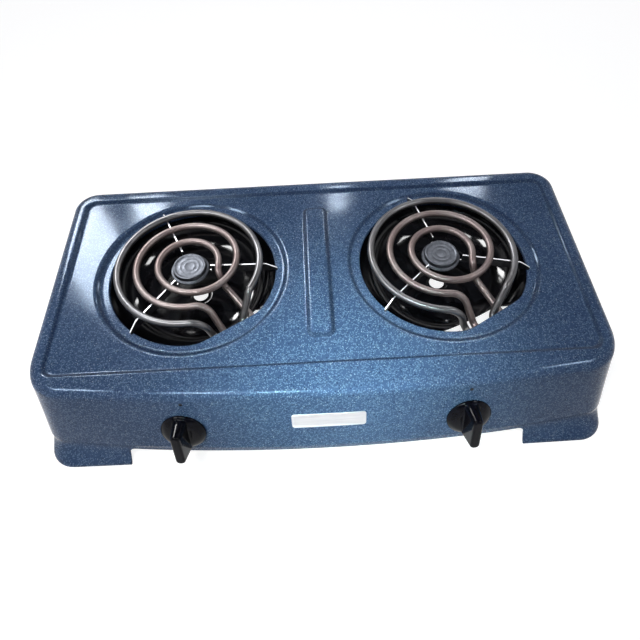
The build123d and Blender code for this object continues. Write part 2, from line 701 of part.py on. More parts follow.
def make_knob(side):
    """Skirted knob with a tapered bar grip and a hub for the shaft."""
    low = KNOB_GAP
    edge = (SKIRT_R, low + SKIRT_EDGE)
    shoulder = (SKIRT_R - SKIRT_SHOULDER[0], SKIRT_HEIGHT + SKIRT_SHOULDER[1])
    brow = (SKIRT_R - SKIRT_BROW[0], SKIRT_HEIGHT + SKIRT_BROW[1])
    top = (0, SKIRT_HEIGHT + SKIRT_CROWN)
    dome = [Line((0, low), (SKIRT_R, low)), Line((SKIRT_R, low), edge), ThreePointArc(edge, shoulder, brow),
            Line(brow, top), Line(top, (0, low))]
    body = revolve(Plane.XZ * make_face(dome), Axis.Z, 360)
    foot = RectangleRounded(GRIP_WIDTH, GRIP_LENGTH, GRIP_WIDTH * GRIP_ROUND)
    crown = RectangleRounded(GRIP_TOP_WIDTH, GRIP_TOP_LENGTH, GRIP_TOP_WIDTH * GRIP_ROUND)
    grip = loft([Pos(0, 0, low + GRIP_FOOT) * foot, Pos(0, 0, KNOB_HEIGHT) * crown], ruled=True)
    grip = fillet(grip.faces().sort_by(Axis.Z)[-1].edges(), GRIP_EDGE)
    hollow_r = SKIRT_R - SKIRT_WALL
    roof = SKIRT_HEIGHT - SKIRT_WALL
    edge_r, edge_z = HOLLOW_EDGE
    hollow = turned_part([(KNOB_HUB_R, 0), (hollow_r, 0), (hollow_r, low + edge_z),
                          (hollow_r - edge_r, roof), (KNOB_HUB_R, roof)])
    core = Pos(0, 0, KNOB_HUB_END / 2) * Cylinder(KNOB_HUB_R, KNOB_HUB_END)
    bore = extrude(Circle(SHAFT_R + PRESS_FIT), KNOB_SEAT)
    return knob_plane(side).location * (body + grip - hollow - core - bore)


def make_switch_shaft(side):
    """Switch spindle that carries the knob."""
    shaft = Pos(0, 0, -SHAFT_BORE_DEPTH) * extrude(Circle(SHAFT_R), SHAFT_BORE_DEPTH + KNOB_SEAT)
    return knob_plane(side).location * shaft


def make_switch_body(side):
    """Block of a rotary heat switch behind the front."""
    front = -SHEET - SWITCH_GAP
    section = RectangleRounded(SWITCH_SIDE, SWITCH_SIDE, SWITCH_CORNER)
    block = extrude(Pos(0, 0, front) * section, -SWITCH_DEPTH)
    block = chamfer(block.faces().sort_by(Axis.Z)[0].edges(), SWITCH_EDGE)
    block = block - Pos(0, 0, -SHAFT_BORE_DEPTH) * extrude(Circle(SHAFT_R + SHAFT_PLAY), SHAFT_BORE_DEPTH)
    for across in (-SCREW_SPREAD, SCREW_SPREAD):
        hole = Pos(across, 0, front) * extrude(Circle(SCREW_R + PRESS_FIT), -SCREW_DEPTH - 0.5)
        block = block - hole
    return knob_plane(side).location * block


def make_switch_bush(side):
    """Collar round the spindle where it passes through the front."""
    bush = extrude(Circle(BUSH_R) - Circle(SHAFT_R + SHAFT_PLAY), BUSH_OUT + SHEET + SWITCH_GAP)
    return knob_plane(side).location * Pos(0, 0, -SHEET - SWITCH_GAP) * bush


def make_switch_screws(side):
    """Two screws that hold the switch, hidden by the knob's skirt."""
    shank = SCREW_HEAD_GAP + SHEET + SWITCH_GAP + SCREW_DEPTH
    screw = Pos(0, 0, SCREW_HEAD_GAP - shank) * screw_solid(shank)
    pair = [Pos(across, 0, 0) * screw for across in (-SCREW_SPREAD, SCREW_SPREAD)]
    return knob_plane(side).location * Compound(pair)


def screw_solid(length):
    """Pan-head screw that stands on the tip of its shank."""
    edge_r, edge_z = SCREW_HEAD_EDGE
    top = length + SCREW_HEAD
    points = [(0, 0), (SCREW_R, 0), (SCREW_R, length), (SCREW_HEAD_R, length),
              (SCREW_HEAD_R, top - edge_z), (SCREW_HEAD_R - edge_r, top), (0, top)]
    return turned_part(points)


def tab_places():
    """Places of the switch's blade terminals: four above for the coil, two below for the supply."""
    back = -SHEET - SWITCH_GAP - SWITCH_DEPTH
    coil = [Pos(x, COIL_TABS_Y, back) for x in COIL_TABS_X]
    return coil + [Pos(x, SUPPLY_TABS_Y, back) for x in SUPPLY_TABS_X]


def make_switch_tabs(side):
    """Blade terminals on the back of the switch."""
    tab = Pos(0, 0, -TAB_LENGTH / 2) * Box(TAB_THICK, TAB_WIDTH, TAB_LENGTH)
    return knob_plane(side).location * Compound([at * tab for at in tab_places()])


def tab_end(side, number):
    """Point at the end of a switch terminal."""
    return (knob_plane(side).location * tab_places()[number] * Pos(0, 0, -TAB_LENGTH)).position


def wire_along(points):
    """Insulated wire through points, with arcs at its corners."""
    return tube(joined([FilletPolyline(*points, radius=WIRE_BEND)]), WIRE_R)


def make_coil_leads(side):
    """Four wires from the coil's terminals to the switch."""
    inward = knob_plane(side).z_dir * -1
    wires = []
    for number, offset in enumerate(sorted(LEG_OFFSETS.values())):
        start = (leg_place(side) * Pos(TERMINAL_END, offset, -LEG_DROP)).position
        out = (leg_place(side) * Pos(TERMINAL_END + TERMINAL_REACH, offset, -LEG_DROP)).position
        end = tab_end(side, number)
        wires.append(wire_along([start, out, end + inward * TAB_REACH, end]))
    return Compound(wires)


def block_front_y():
    """Front of the mains block inside the rear wall."""
    return TOP_BACK_Y - SHEET - BLOCK_SIZE[1]


def make_supply_leads(side):
    """Two wires from the mains block forward to a switch."""
    sign = SIDES[side]
    inward = knob_plane(side).z_dir * -1
    wires = []
    back_y, front_y, turn_y = SUPPLY_TURNS_Y
    for number, lane in enumerate(SUPPLY_LANES):
        right_tab = (number == 1) == (sign > 0)
        end = tab_end(side, len(COIL_TABS_X) + right_tab)
        step = SUPPLY_STEP * number
        start_x, start_apart = SUPPLY_START
        start = Vector(sign * start_x, block_front_y(), BLOCK_Z + start_apart * (number - 0.5))
        points = [start, start + Vector(0, -TAB_REACH, 0), Vector(sign * lane, back_y, SUPPLY_Z),
                  Vector(sign * (lane + 2.0), front_y + step, SUPPLY_Z),
                  Vector(sign * SUPPLY_TURN_X, turn_y + step, SUPPLY_Z),
                  end + inward * (TAB_REACH + step), end]
        wires.append(wire_along(points))
    return Compound(wires)


def make_mains_block():
    """Ceramic terminal block inside the rear wall."""
    width, depth, height = BLOCK_SIZE
    block = Pos(0, block_front_y() + depth / 2, BLOCK_Z) * Box(width, depth, height)
    block = chamfer(block.edges().filter_by(Axis.Y), BLOCK_EDGE)
    top = BLOCK_Z + height / 2
    for at in clamp_places(top):
        block = block - at * extrude(Circle(CLAMP_R + PRESS_FIT), -CLAMP_DEPTH)
    rear = Pos(0, TOP_BACK_Y, 0) * Rot(90, 0, 0)
    for across in (-BLOCK_SCREW_X, BLOCK_SCREW_X):
        hole = extrude(Circle(SCREW_R + PRESS_FIT), BLOCK_SCREW_LENGTH)
        block = block - rear * Pos(across, BLOCK_Z, 0) * hole
    return block


def clamp_places(top):
    """Places of the clamp screws on the mains block."""
    middle = block_front_y() + BLOCK_SIZE[1] / 2
    return [Pos(x, middle, top) for x in (-CLAMP_PITCH, 0.0, CLAMP_PITCH)]


def make_mains_clamp_screws():
    """Brass clamp screws of the mains block."""
    head = extrude(Circle(CLAMP_R), -CLAMP_DEPTH)
    screw = head - Box(3 * CLAMP_R, *CLAMP_SLOT)
    return Compound([at * screw for at in clamp_places(BLOCK_Z + BLOCK_SIZE[2] / 2)])


def rear_wall_y(z):
    """Outer face of the rear wall at a height."""
    return between((z - CREASE_Z) / (RIM_Z - CREASE_Z), CREASE_BACK_Y, TOP_BACK_Y)


def make_mains_block_screws():
    """Two screws from outside that hold the mains block."""
    face = rear_wall_y(BLOCK_Z) + 0.1
    base = Pos(0, face - BLOCK_SCREW_LENGTH, BLOCK_Z) * Rot(-90, 0, 0)
    screw = base * screw_solid(BLOCK_SCREW_LENGTH)
    return Compound([Pos(across, 0, 0) * screw for across in (-BLOCK_SCREW_X, BLOCK_SCREW_X)])


def make_cord_grommet():
    """Rubber grommet of the mains inlet."""
    half = SHEET / 2 + 0.15
    neck = INLET_R - 0.05
    end = half + GROMMET_FLANGE
    inner_edge, outer_edge = GROMMET_EDGE
    edge = end - inner_edge
    points = [(GROMMET_BORE_R, -end), (GROMMET_FLANGE_R - inner_edge, -end), (GROMMET_FLANGE_R, -edge),
              (GROMMET_FLANGE_R, -half), (neck, -half), (neck, half), (GROMMET_FLANGE_R, half),
              (GROMMET_FLANGE_R, edge), (GROMMET_FLANGE_R - outer_edge, end), (GROMMET_BORE_R, end)]
    slope = math.degrees(math.atan2(CREASE_BACK_Y - TOP_BACK_Y, RIM_Z - CREASE_Z))
    middle = rear_wall_y(INLET_Z) - SHEET / 2
    return Pos(INLET_X, middle, INLET_Z) * Rot(-90 + slope, 0, 0) * turned_part(points)


def main():
    os.makedirs("parts", exist_ok=True)
    save("top_shell", make_top_shell())
    outer = outer_path()
    inner = inner_path()
    print("outer tube least gap to itself, mm:", round(least_gap(outer, TUBE_R), 2))
    print("inner tube least gap to itself, mm:", round(least_gap(inner, TUBE_R), 2))
    outer_tube = tube(outer, TUBE_R)
    inner_tube = tube(inner, TUBE_R)
    for side in SIDES:
        save(side + "_reflector_bowl", make_reflector_bowl(side))
        save(side + "_bowl_studs", make_bowl_studs(side))
        save(side + "_bowl_nuts", make_bowl_nuts(side))
        save(side + "_outer_coil_tube", coil_place(side) * outer_tube)
        save(side + "_inner_coil_tube", coil_place(side) * inner_tube)
        for number, angle in enumerate(ARM_ANGLES, start=1):
            save(side + "_support_arm_" + str(number), make_support_arm(side, angle))
        save(side + "_medallion", make_medallion(side))
        save(side + "_hub_rivet", make_hub_rivet(side))
        save(side + "_terminal_bracket", make_terminal_bracket(side))
        save(side + "_hinge_pin", make_hinge_pin(side))
        save(side + "_hinge_clips", make_hinge_clips(side))
        save(side + "_terminal_insulators", make_terminal_insulators(side))
        save(side + "_terminal_pins", make_terminal_pins(side))
        save(side + "_knob", make_knob(side))
        save(side + "_switch_shaft", make_switch_shaft(side))
        save(side + "_switch_body", make_switch_body(side))
        save(side + "_switch_bush", make_switch_bush(side))
        save(side + "_switch_screws", make_switch_screws(side))
        save(side + "_switch_tabs", make_switch_tabs(side))
        save(side + "_coil_leads", make_coil_leads(side))
        save(side + "_supply_leads", make_supply_leads(side))
    save("mains_terminal_block", make_mains_block())
    save("mains_clamp_screws", make_mains_clamp_screws())
    save("mains_block_screws", make_mains_block_screws())
    save("cord_grommet", make_cord_grommet())


main()
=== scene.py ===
import json
import logging
import math
from dataclasses import astuple, dataclass, field, replace
from enum import Enum
from typing import ClassVar, Iterable, Sequence

import bmesh
import bpy
from mathutils import Euler, Matrix, Vector
from mathutils.geometry import delaunay_2d_cdt


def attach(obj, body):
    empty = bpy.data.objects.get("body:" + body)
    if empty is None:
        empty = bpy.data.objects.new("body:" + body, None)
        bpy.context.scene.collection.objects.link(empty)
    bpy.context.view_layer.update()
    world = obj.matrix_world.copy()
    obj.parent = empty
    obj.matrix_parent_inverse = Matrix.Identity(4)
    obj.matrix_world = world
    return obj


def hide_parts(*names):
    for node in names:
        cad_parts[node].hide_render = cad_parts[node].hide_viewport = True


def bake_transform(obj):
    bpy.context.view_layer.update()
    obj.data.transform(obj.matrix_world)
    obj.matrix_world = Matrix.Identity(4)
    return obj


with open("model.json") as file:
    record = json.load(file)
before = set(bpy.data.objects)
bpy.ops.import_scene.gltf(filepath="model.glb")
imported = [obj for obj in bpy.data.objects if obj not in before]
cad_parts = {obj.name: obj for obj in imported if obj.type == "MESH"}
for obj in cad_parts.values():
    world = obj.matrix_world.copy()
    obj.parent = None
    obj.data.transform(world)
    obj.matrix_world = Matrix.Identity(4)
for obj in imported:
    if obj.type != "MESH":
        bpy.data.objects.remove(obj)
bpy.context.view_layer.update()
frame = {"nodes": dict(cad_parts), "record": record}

Piece = bpy.types.Object
Material = bpy.types.Material
Socket = bpy.types.NodeSocket
Colour = tuple[float, float, float]
Place = tuple[float, float, float]
Range = tuple[float, float]
Section = list[tuple[float, float]]
Loop = list[int]

# Sizes are in millimetres about the line through both burner openings. Meshes are made in metres.
MM = 0.001
BURNER_LINE_Y = 28.2
BURNER_X = 129.0

# Points closer than this, in metres, are merged.
SAME_POINT = 1e-7
# A difference below this, in millimetres or radians, counts as none.
NEARLY = 1e-3
# Least length, in millimetres, that anything is divided by.
TINY = 1e-9
# How a level region is filled: inside its edges alone, where closer points, in millimetres, are one.
FILL_INSIDE = 1
FILL_GAP = 1e-6
# Edges sharper than these angles, in degrees, stay crisp on most pieces and on round ones.
CRISP_ANGLE = 38.0
ROUND_CRISP_ANGLE = 50.0

# Values that a noise has nearly everywhere.
NOISE_BODY: Range = (0.3, 0.7)
# Sockets of a Mix node for colours.
MIX_FACTOR, MIX_FIRST, MIX_SECOND, MIX_RESULT = 0, 6, 7, 2
# What a mesh keeps for its finish: the lean of its steps, which the enamel paints as shade, and the way
# along a bar in metres.
PAINTED_SHADE_LEAN = "drawn"
ALONG = "along"
WHITE: Colour = (1.0, 1.0, 1.0)
TEAL: Colour = (0.70, 1.0, 0.98)

log = logging.getLogger("stove")


class Side(Enum):
    """The two burners, as seen from the front."""

    LEFT = "left"
    RIGHT = "right"

    @property
    def sign(self) -> float:
        """Sign of x on this side."""
        return -1.0 if self is Side.LEFT else 1.0


# Points and lines

def to_frame(point: Vector) -> Vector:
    """Turn a point in millimetres about the burner line into metres in the shared frame."""
    return Vector((point.x, point.y + BURNER_LINE_Y, point.z)) * MM


def between(share: float, low: float, high: float) -> float:
    """Value a given share of the way from low to high."""
    return low + share * (high - low)


def held(share: float) -> float:
    """Share kept between 0 and 1."""
    return min(max(share, 0.0), 1.0)


def ease(share: float) -> float:
    """Smooth step from 0 to 1 with level ends."""
    return share * share * (3.0 - 2.0 * share)


def two_arcs(share: float, run: float, rise: float) -> float:
    """Share of a rise that is climbed along an S of two equal arcs.

    Args:
        share: Share of the run.
        run: Level length of the S.
        rise: Height of the S.

    Returns:
        The share of the rise, from 0 to 1.
    """
    radius = (run * run + rise * rise) / (4.0 * rise)
    level = min(share, 1.0 - share) * run
    climbed = (radius - math.sqrt(radius * radius - level * level)) / rise
    return climbed if share < 0.5 else 1.0 - climbed


def steps(count: int) -> list[float]:
    """Evenly spaced shares from 0 to 1, both ends included."""
    return [k / (count - 1) for k in range(count)]


def round_angles(count: int) -> list[float]:
    """Evenly spaced angles of a full turn, in degrees."""
    return [360.0 * k / count for k in range(count)]


def turn_between(start: float, end: float) -> float:
    """Turn from one direction to another, from -180 to 180 degrees."""
    return (end - start + 180.0) % 360.0 - 180.0


def polar(radius: float, angle: float, z: float = 0.0) -> Vector:
    """Point at a radius and an angle in degrees about the Z axis."""
    turn = math.radians(angle)
    return Vector((radius * math.cos(turn), radius * math.sin(turn), z))


def middle_of(points: Sequence[Vector]) -> Vector:
    """Mean of some points."""
    return sum(points, Vector()) / len(points)


def rounded_corner(before: Vector, corner: Vector, after: Vector, radius: float,
                   count: int) -> list[Vector]:
    """Arc that rounds one corner of a line.

    Args:
        before: Point of the line before the corner.
        corner: The corner itself.
        after: Point of the line after the corner.
        radius: Radius of the arc.
        count: Number of points on the arc, ends included.

    Returns:
        The points of the arc, from the run before to the run after.
    """
    one = (before - corner).normalized()
    two = (after - corner).normalized()
    angle = one.angle(two)
    if angle > math.pi - NEARLY:
        return [corner.copy() for _ in range(count)]
    centre = corner + (one + two).normalized() * (radius / math.sin(angle / 2))
    start = corner + one * (radius / math.tan(angle / 2)) - centre
    end = corner + two * (radius / math.tan(angle / 2)) - centre
    sweep = start.angle(end)
    points = []
    for t in steps(count):
        near = math.sin((1 - t) * sweep) / math.sin(sweep)
        far = math.sin(t * sweep) / math.sin(sweep)
        points.append(centre + start * near + end * far)
    return points


def rounded_line(points: Sequence[Vector], radii: Sequence[float], count: int = 9) -> list[Vector]:
    """Line through points with every corner rounded.

    Args:
        points: The corners, first and last included.
        radii: Radius at each corner.
        count: Points on each arc.

    Returns:
        The points of the rounded line.
    """
    line = [points[0]]
    for before, corner, after, radius in zip(points, points[1:], points[2:], radii):
        line += rounded_corner(before, corner, after, radius, count)
    return line + [points[-1]]


def arc_through(start: Vector, middle: Vector, end: Vector, count: int) -> list[Vector]:
    """Arc through three points in a plane.

    Args:
        start: First end of the arc.
        middle: A point on the arc.
        end: Last end of the arc.
        count: Number of points, ends included.

    Returns:
        The points of the arc.
    """
    a, b, c = start, middle, end
    d = 2.0 * (a.x * (b.y - c.y) + b.x * (c.y - a.y) + c.x * (a.y - b.y))
    aa, bb, cc = a.length_squared, b.length_squared, c.length_squared
    centre = Vector(((aa * (b.y - c.y) + bb * (c.y - a.y) + cc * (a.y - b.y)) / d,
                     (aa * (c.x - b.x) + bb * (a.x - c.x) + cc * (b.x - a.x)) / d))
    radius = (a - centre).length
    first = math.atan2(a.y - centre.y, a.x - centre.x)
    last = math.atan2(c.y - centre.y, c.x - centre.x)
    turns = [between(t, first, last) for t in steps(count)]
    return [centre + Vector((math.cos(t), math.sin(t))) * radius for t in turns]


def resample(line: Sequence[Vector], count: int) -> list[Vector]:
    """Space points evenly along a line.

    Args:
        line: Points of the line.
        count: Number of points wanted, both ends included.

    Returns:
        The evenly spaced points.
    """
    lengths = [0.0]
    for a, b in zip(line, line[1:]):
        lengths.append(lengths[-1] + (b - a).length)
    points = []
    k = 0
    for share in steps(count):
        want = share * lengths[-1]
        while k < len(lengths) - 2 and lengths[k + 1] < want:
            k += 1
        span = max(lengths[k + 1] - lengths[k], TINY)
        points.append(line[k].lerp(line[k + 1], (want - lengths[k]) / span))
    return points


def crossings(point: Vector, walls: Sequence[tuple[Vector, Vector]]) -> int:
    """Count the walls to the right of a point in plan.

    Args:
        point: The point.
        walls: Both ends of each wall.

    Returns:
        How many walls a line to the right crosses.
    """
    count = 0
    for a, b in walls:
        if (a.y > point.y) != (b.y > point.y):
            count += point.x < a.x + (point.y - a.y) * (b.x - a.x) / (b.y - a.y)
    return count


def height_at(section: Section, radius: float) -> float:
    """Read a section's height.

    Args:
        section: Radii and heights, with rising radii.
        radius: Where the height is wanted.

    Returns:
        The height at the radius.
    """
    for (r0, z0), (r1, z1) in zip(section, section[1:]):
        if radius <= r1:
            return between((radius - r0) / (r1 - r0), z0, z1)
    return section[-1][1]


# Mesh drafting

def link(name: str, data: bpy.types.ID) -> Piece:
    """Put an object in the scene.

    Args:
        name: Name of the object.
        data: Its mesh, lamp or camera.

    Returns:
        The new object.
    """
    obj = bpy.data.objects.new(name, data)
    bpy.context.scene.collection.objects.link(obj)
    return obj


class MeshDraft:
    """Vertices and faces of one piece while it is being drawn, in millimetres."""

    def __init__(self) -> None:
        """Start with nothing drawn."""
        self.points: list[Vector] = []
        self.faces: list[tuple[int, ...]] = []

    def loop(self, points: Iterable[Vector]) -> Loop:
        """Add a row of points.

        Args:
            points: The points.

        Returns:
            Their numbers in the draft.
        """
        start = len(self.points)
        self.points.extend(points)
        return list(range(start, len(self.points)))

    def bridges(self, rows: Sequence[Loop]) -> None:
        """Join closed rows of equal count with quads.

        Args:
            rows: The rows, one after the other.
        """
        for first, second in zip(rows, rows[1:]):
            count = len(first)
            for k in range(count):
                n = (k + 1) % count
                self.faces.append((first[k], first[n], second[n], second[k]))

    def cap(self, row: Loop) -> None:
        """Close a row with a fan about its middle.

        Args:
            row: The row to close.
        """
        centre = self.loop([middle_of([self.points[k] for k in row])])[0]
        for k, here in enumerate(row):
            self.faces.append((here, row[(k + 1) % len(row)], centre))

    def closed_skin(self, rows: Sequence[Loop]) -> None:
        """Join rows and close both ends.

        Args:
            rows: The rows, from one end to the other.
        """
        self.bridges(rows)
        self.cap(rows[0])
        self.cap(rows[-1])

    def fill(self, outer: Loop, holes: Sequence[Loop] = ()) -> None:
        """Fill a level region.

        Args:
            outer: Row round the region.
            holes: Rows round its holes.
        """
        rows = [outer, *holes]
        numbers = [k for row in rows for k in row]
        place = {number: k for k, number in enumerate(numbers)}
        edges = [(place[a], place[b]) for row in rows for a, b in zip(row, row[1:] + row[:1])]
        flat = [self.points[k].xy for k in numbers]
        places, _, triangles, origins, _, _ = delaunay_2d_cdt(flat, edges, [], FILL_INSIDE, FILL_GAP)
        walls = [(flat[a], flat[b]) for a, b in edges]
        for triangle in triangles:
            middle = sum((places[k] for k in triangle), Vector((0.0, 0.0))) / 3.0
            if crossings(middle, walls) % 2:
                self.faces.append(tuple(numbers[origins[k][0]] for k in triangle))

    def revolve(self, section: Section, count: int, closed: bool = False) -> list[Loop]:
        """Turn a half section about Z.

        Args:
            section: Radii and heights along the section.
            count: Number of columns round the axis.
            closed: Whether the section's end joins its start.

        Returns:
            The rows that were made.
        """
        rows = [self.loop(polar(r, angle, z) for angle in round_angles(count)) for r, z in section]
        self.bridges(rows + rows[:1] if closed else rows)
        return rows

    def to_object(self, name: str, place: Matrix | None = None, crisp: float = CRISP_ANGLE) -> Piece:
        """Make the piece's object.

        Args:
            name: Name of the piece.
            place: Transform, in millimetres, that puts the draft in its place.
            crisp: Edges sharper than this, in degrees, stay crisp.

        Returns:
            A mesh object at the origin with its place in its mesh.
        """
        place = place or Matrix.Identity(4)
        mesh = bpy.data.meshes.new(name)
        mesh.from_pydata([to_frame(place @ p) for p in self.points], [], self.faces)
        work = bmesh.new()
        work.from_mesh(mesh)
        bmesh.ops.remove_doubles(work, verts=work.verts, dist=SAME_POINT)
        bmesh.ops.recalc_face_normals(work, faces=work.faces)
        work.to_mesh(mesh)
        work.free()
        obj = link(name, mesh)
        shade(obj, crisp)
        return obj


def shade(obj: Piece, angle: float) -> None:
    """Shade a mesh smooth, with edges sharper than an angle in degrees kept crisp."""
    obj.data.shade_smooth()
    obj.data.set_sharp_from_angle(angle=math.radians(angle))


def face_up(obj: Piece) -> None:
    """Turn an open sheet so that its upper side faces outwards."""
    if sum(p.normal.z * p.area for p in obj.data.polygons) < 0:
        obj.data.flip_normals()


def apply_modifiers(obj: Piece) -> None:
    """Replace a mesh by its evaluated shape and drop its modifiers.

    Args:
        obj: The piece.
    """
    graph = bpy.context.evaluated_depsgraph_get()
    graph.update()
    made = bpy.data.meshes.new_from_object(obj.evaluated_get(graph))
    made.name = obj.name
    obj.modifiers.clear()
    old = obj.data
    obj.data = made
    bpy.data.meshes.remove(old)


def thicken(obj: Piece, thickness: float, offset: float) -> None:
    """Give a sheet its thickness.

    Args:
        obj: The sheet.
        thickness: Thickness in millimetres.
        offset: Side it grows to, from -1 inwards to 1 outwards.
    """
    solid = obj.modifiers.new("thickness", "SOLIDIFY")
    solid.thickness = thickness * MM
    solid.offset = offset
    solid.use_quality_normals = True


class SweepTree:
    """Geometry Nodes tree that draws a round bar along a line of edges."""

    def __init__(self) -> None:
        """Build the tree with its named inputs."""
        tree = bpy.data.node_groups.new("round_bar_along_line", "GeometryNodeTree")
        face = tree.interface
        face.new_socket("Geometry", in_out="INPUT", socket_type="NodeSocketGeometry")
        kinds = {"Bar radius": "NodeSocketFloat", "Sides": "NodeSocketInt", "Finish": "NodeSocketMaterial"}
        made = [face.new_socket(name, in_out="INPUT", socket_type=kind) for name, kind in kinds.items()]
        self.radius, self.sides, self.finish = [socket.identifier for socket in made]
        face.new_socket("Geometry", in_out="OUTPUT", socket_type="NodeSocketGeometry")
        nodes, links = tree.nodes, tree.links
        given = nodes.new("NodeGroupInput")
        line = nodes.new("GeometryNodeMeshToCurve")
        along = nodes.new("GeometryNodeSplineParameter")
        marked = nodes.new("GeometryNodeStoreNamedAttribute")
        marked.data_type = "FLOAT"
        marked.domain = "POINT"
        marked.inputs["Name"].default_value = ALONG
        ring = nodes.new("GeometryNodeCurvePrimitiveCircle")
        bar = nodes.new("GeometryNodeCurveToMesh")
        bar.inputs["Fill Caps"].default_value = True
        realized = nodes.new("GeometryNodeRealizeInstances")
        dressed = nodes.new("GeometryNodeSetMaterial")
        result = nodes.new("NodeGroupOutput")
        links.new(given.outputs["Geometry"], line.inputs["Mesh"])
        links.new(line.outputs["Curve"], marked.inputs["Geometry"])
        links.new(along.outputs["Length"], marked.inputs["Value"])
        links.new(marked.outputs["Geometry"], bar.inputs["Curve"])
        links.new(given.outputs["Sides"], ring.inputs["Resolution"])
        links.new(given.outputs["Bar radius"], ring.inputs["Radius"])
        links.new(ring.outputs["Curve"], bar.inputs["Profile Curve"])
        links.new(bar.outputs["Mesh"], realized.inputs["Geometry"])
        links.new(realized.outputs["Geometry"], dressed.inputs["Geometry"])
        links.new(given.outputs["Finish"], dressed.inputs["Material"])
        links.new(dressed.outputs["Geometry"], result.inputs["Geometry"])
        self.tree = tree

    def draw(self, name: str, lines: Sequence[Sequence[Vector]], radius: float, sides: int,
             finish: Material) -> Piece:
        """Draw bars along lines.

        Args:
            name: Name of the piece.
            lines: Points of each bar's centre line, in metres in the shared frame.
            radius: Radius of the bars in millimetres.
            sides: Number of sides of a bar's section.
            finish: Material of the bars.

        Returns:
            One mesh object with all bars.
        """
        edges = []
        start = 0
        for line in lines:
            edges += [(start + k, start + k + 1) for k in range(len(line) - 1)]
            start += len(line)
        mesh = bpy.data.meshes.new(name)
        mesh.from_pydata([p for line in lines for p in line], edges, [])
        obj = link(name, mesh)
        nodes = obj.modifiers.new("round_bar", "NODES")
        nodes.node_group = self.tree
        nodes[self.radius] = radius * MM
        nodes[self.sides] = sides
        nodes[self.finish] = finish
        apply_modifiers(obj)
        shade(obj, ROUND_CRISP_ANGLE)
        return obj


# Finishes

class NodeSketch:
    """Short hand for drawing the nodes of a tree."""

    def __init__(self, tree: bpy.types.NodeTree) -> None:
        """Take up a tree that is there."""
        self.nodes, self.links = tree.nodes, tree.links

    def background_ray(self) -> Socket:
        """Tell the rays that show the background, by itself or in metal or glass.

        Returns:
            One for such a ray and zero for any other.
        """
        path = self.nodes.new("ShaderNodeLightPath").outputs
        seen = self.math("MAXIMUM", path["Is Camera Ray"], path["Is Glossy Ray"])
        return self.math("MAXIMUM", seen, path["Is Transmission Ray"])

    def upward(self, direction: Socket) -> Socket:
        """Take the upward part of a direction.

        Args:
            direction: The direction.

        Returns:
            Its share along Z.
        """
        node = self.nodes.new("ShaderNodeSeparateXYZ")
        self.links.new(direction, node.inputs[0])
        return node.outputs["Z"]

    def ramp(self, value: Socket, low: float, high: float, to_low: float = 0.0,
             to_high: float = 1.0) -> Socket:
        """Map a value smoothly from one range to another.

        Args:
            value: The value.
            low: Start of its range.
            high: End of its range.
            to_low: Result at the start.
            to_high: Result at the end.

        Returns:
            The mapped value.
        """
        node = self.nodes.new("ShaderNodeMapRange")
        node.interpolation_type = "SMOOTHSTEP"
        names = ("From Min", "From Max", "To Min", "To Max")
        for name, number in zip(names, (low, high, to_low, to_high)):
            node.inputs[name].default_value = number
        self.links.new(value, node.inputs["Value"])
        return node.outputs["Result"]

    def math(self, operation: str, first: Socket, second: Socket | float) -> Socket:
        """Combine two values.

        Args:
            operation: What is done with them.
            first: The first value.
            second: The second value.

        Returns:
            The result.
        """
        node = self.nodes.new("ShaderNodeMath")
        node.operation = operation
        self.links.new(first, node.inputs[0])
        if isinstance(second, float):
            node.inputs[1].default_value = second
        else:
            self.links.new(second, node.inputs[1])
        return node.outputs[0]

    def mix(self, factor: Socket, first: Colour | Socket, second: Colour | Socket) -> Socket:
        """Mix two colours.

        Args:
            factor: Share of the second colour.
            first: The first colour.
            second: The second colour.

        Returns:
            The mixed colour.
        """
        node = self.nodes.new("ShaderNodeMix")
        node.data_type = "RGBA"
        self.links.new(factor, node.inputs[MIX_FACTOR])
        for number, colour in ((MIX_FIRST, first), (MIX_SECOND, second)):
            if isinstance(colour, tuple):
                node.inputs[number].default_value = (*colour, 1.0)
            else:
                self.links.new(colour, node.inputs[number])
        return node.outputs[MIX_RESULT]


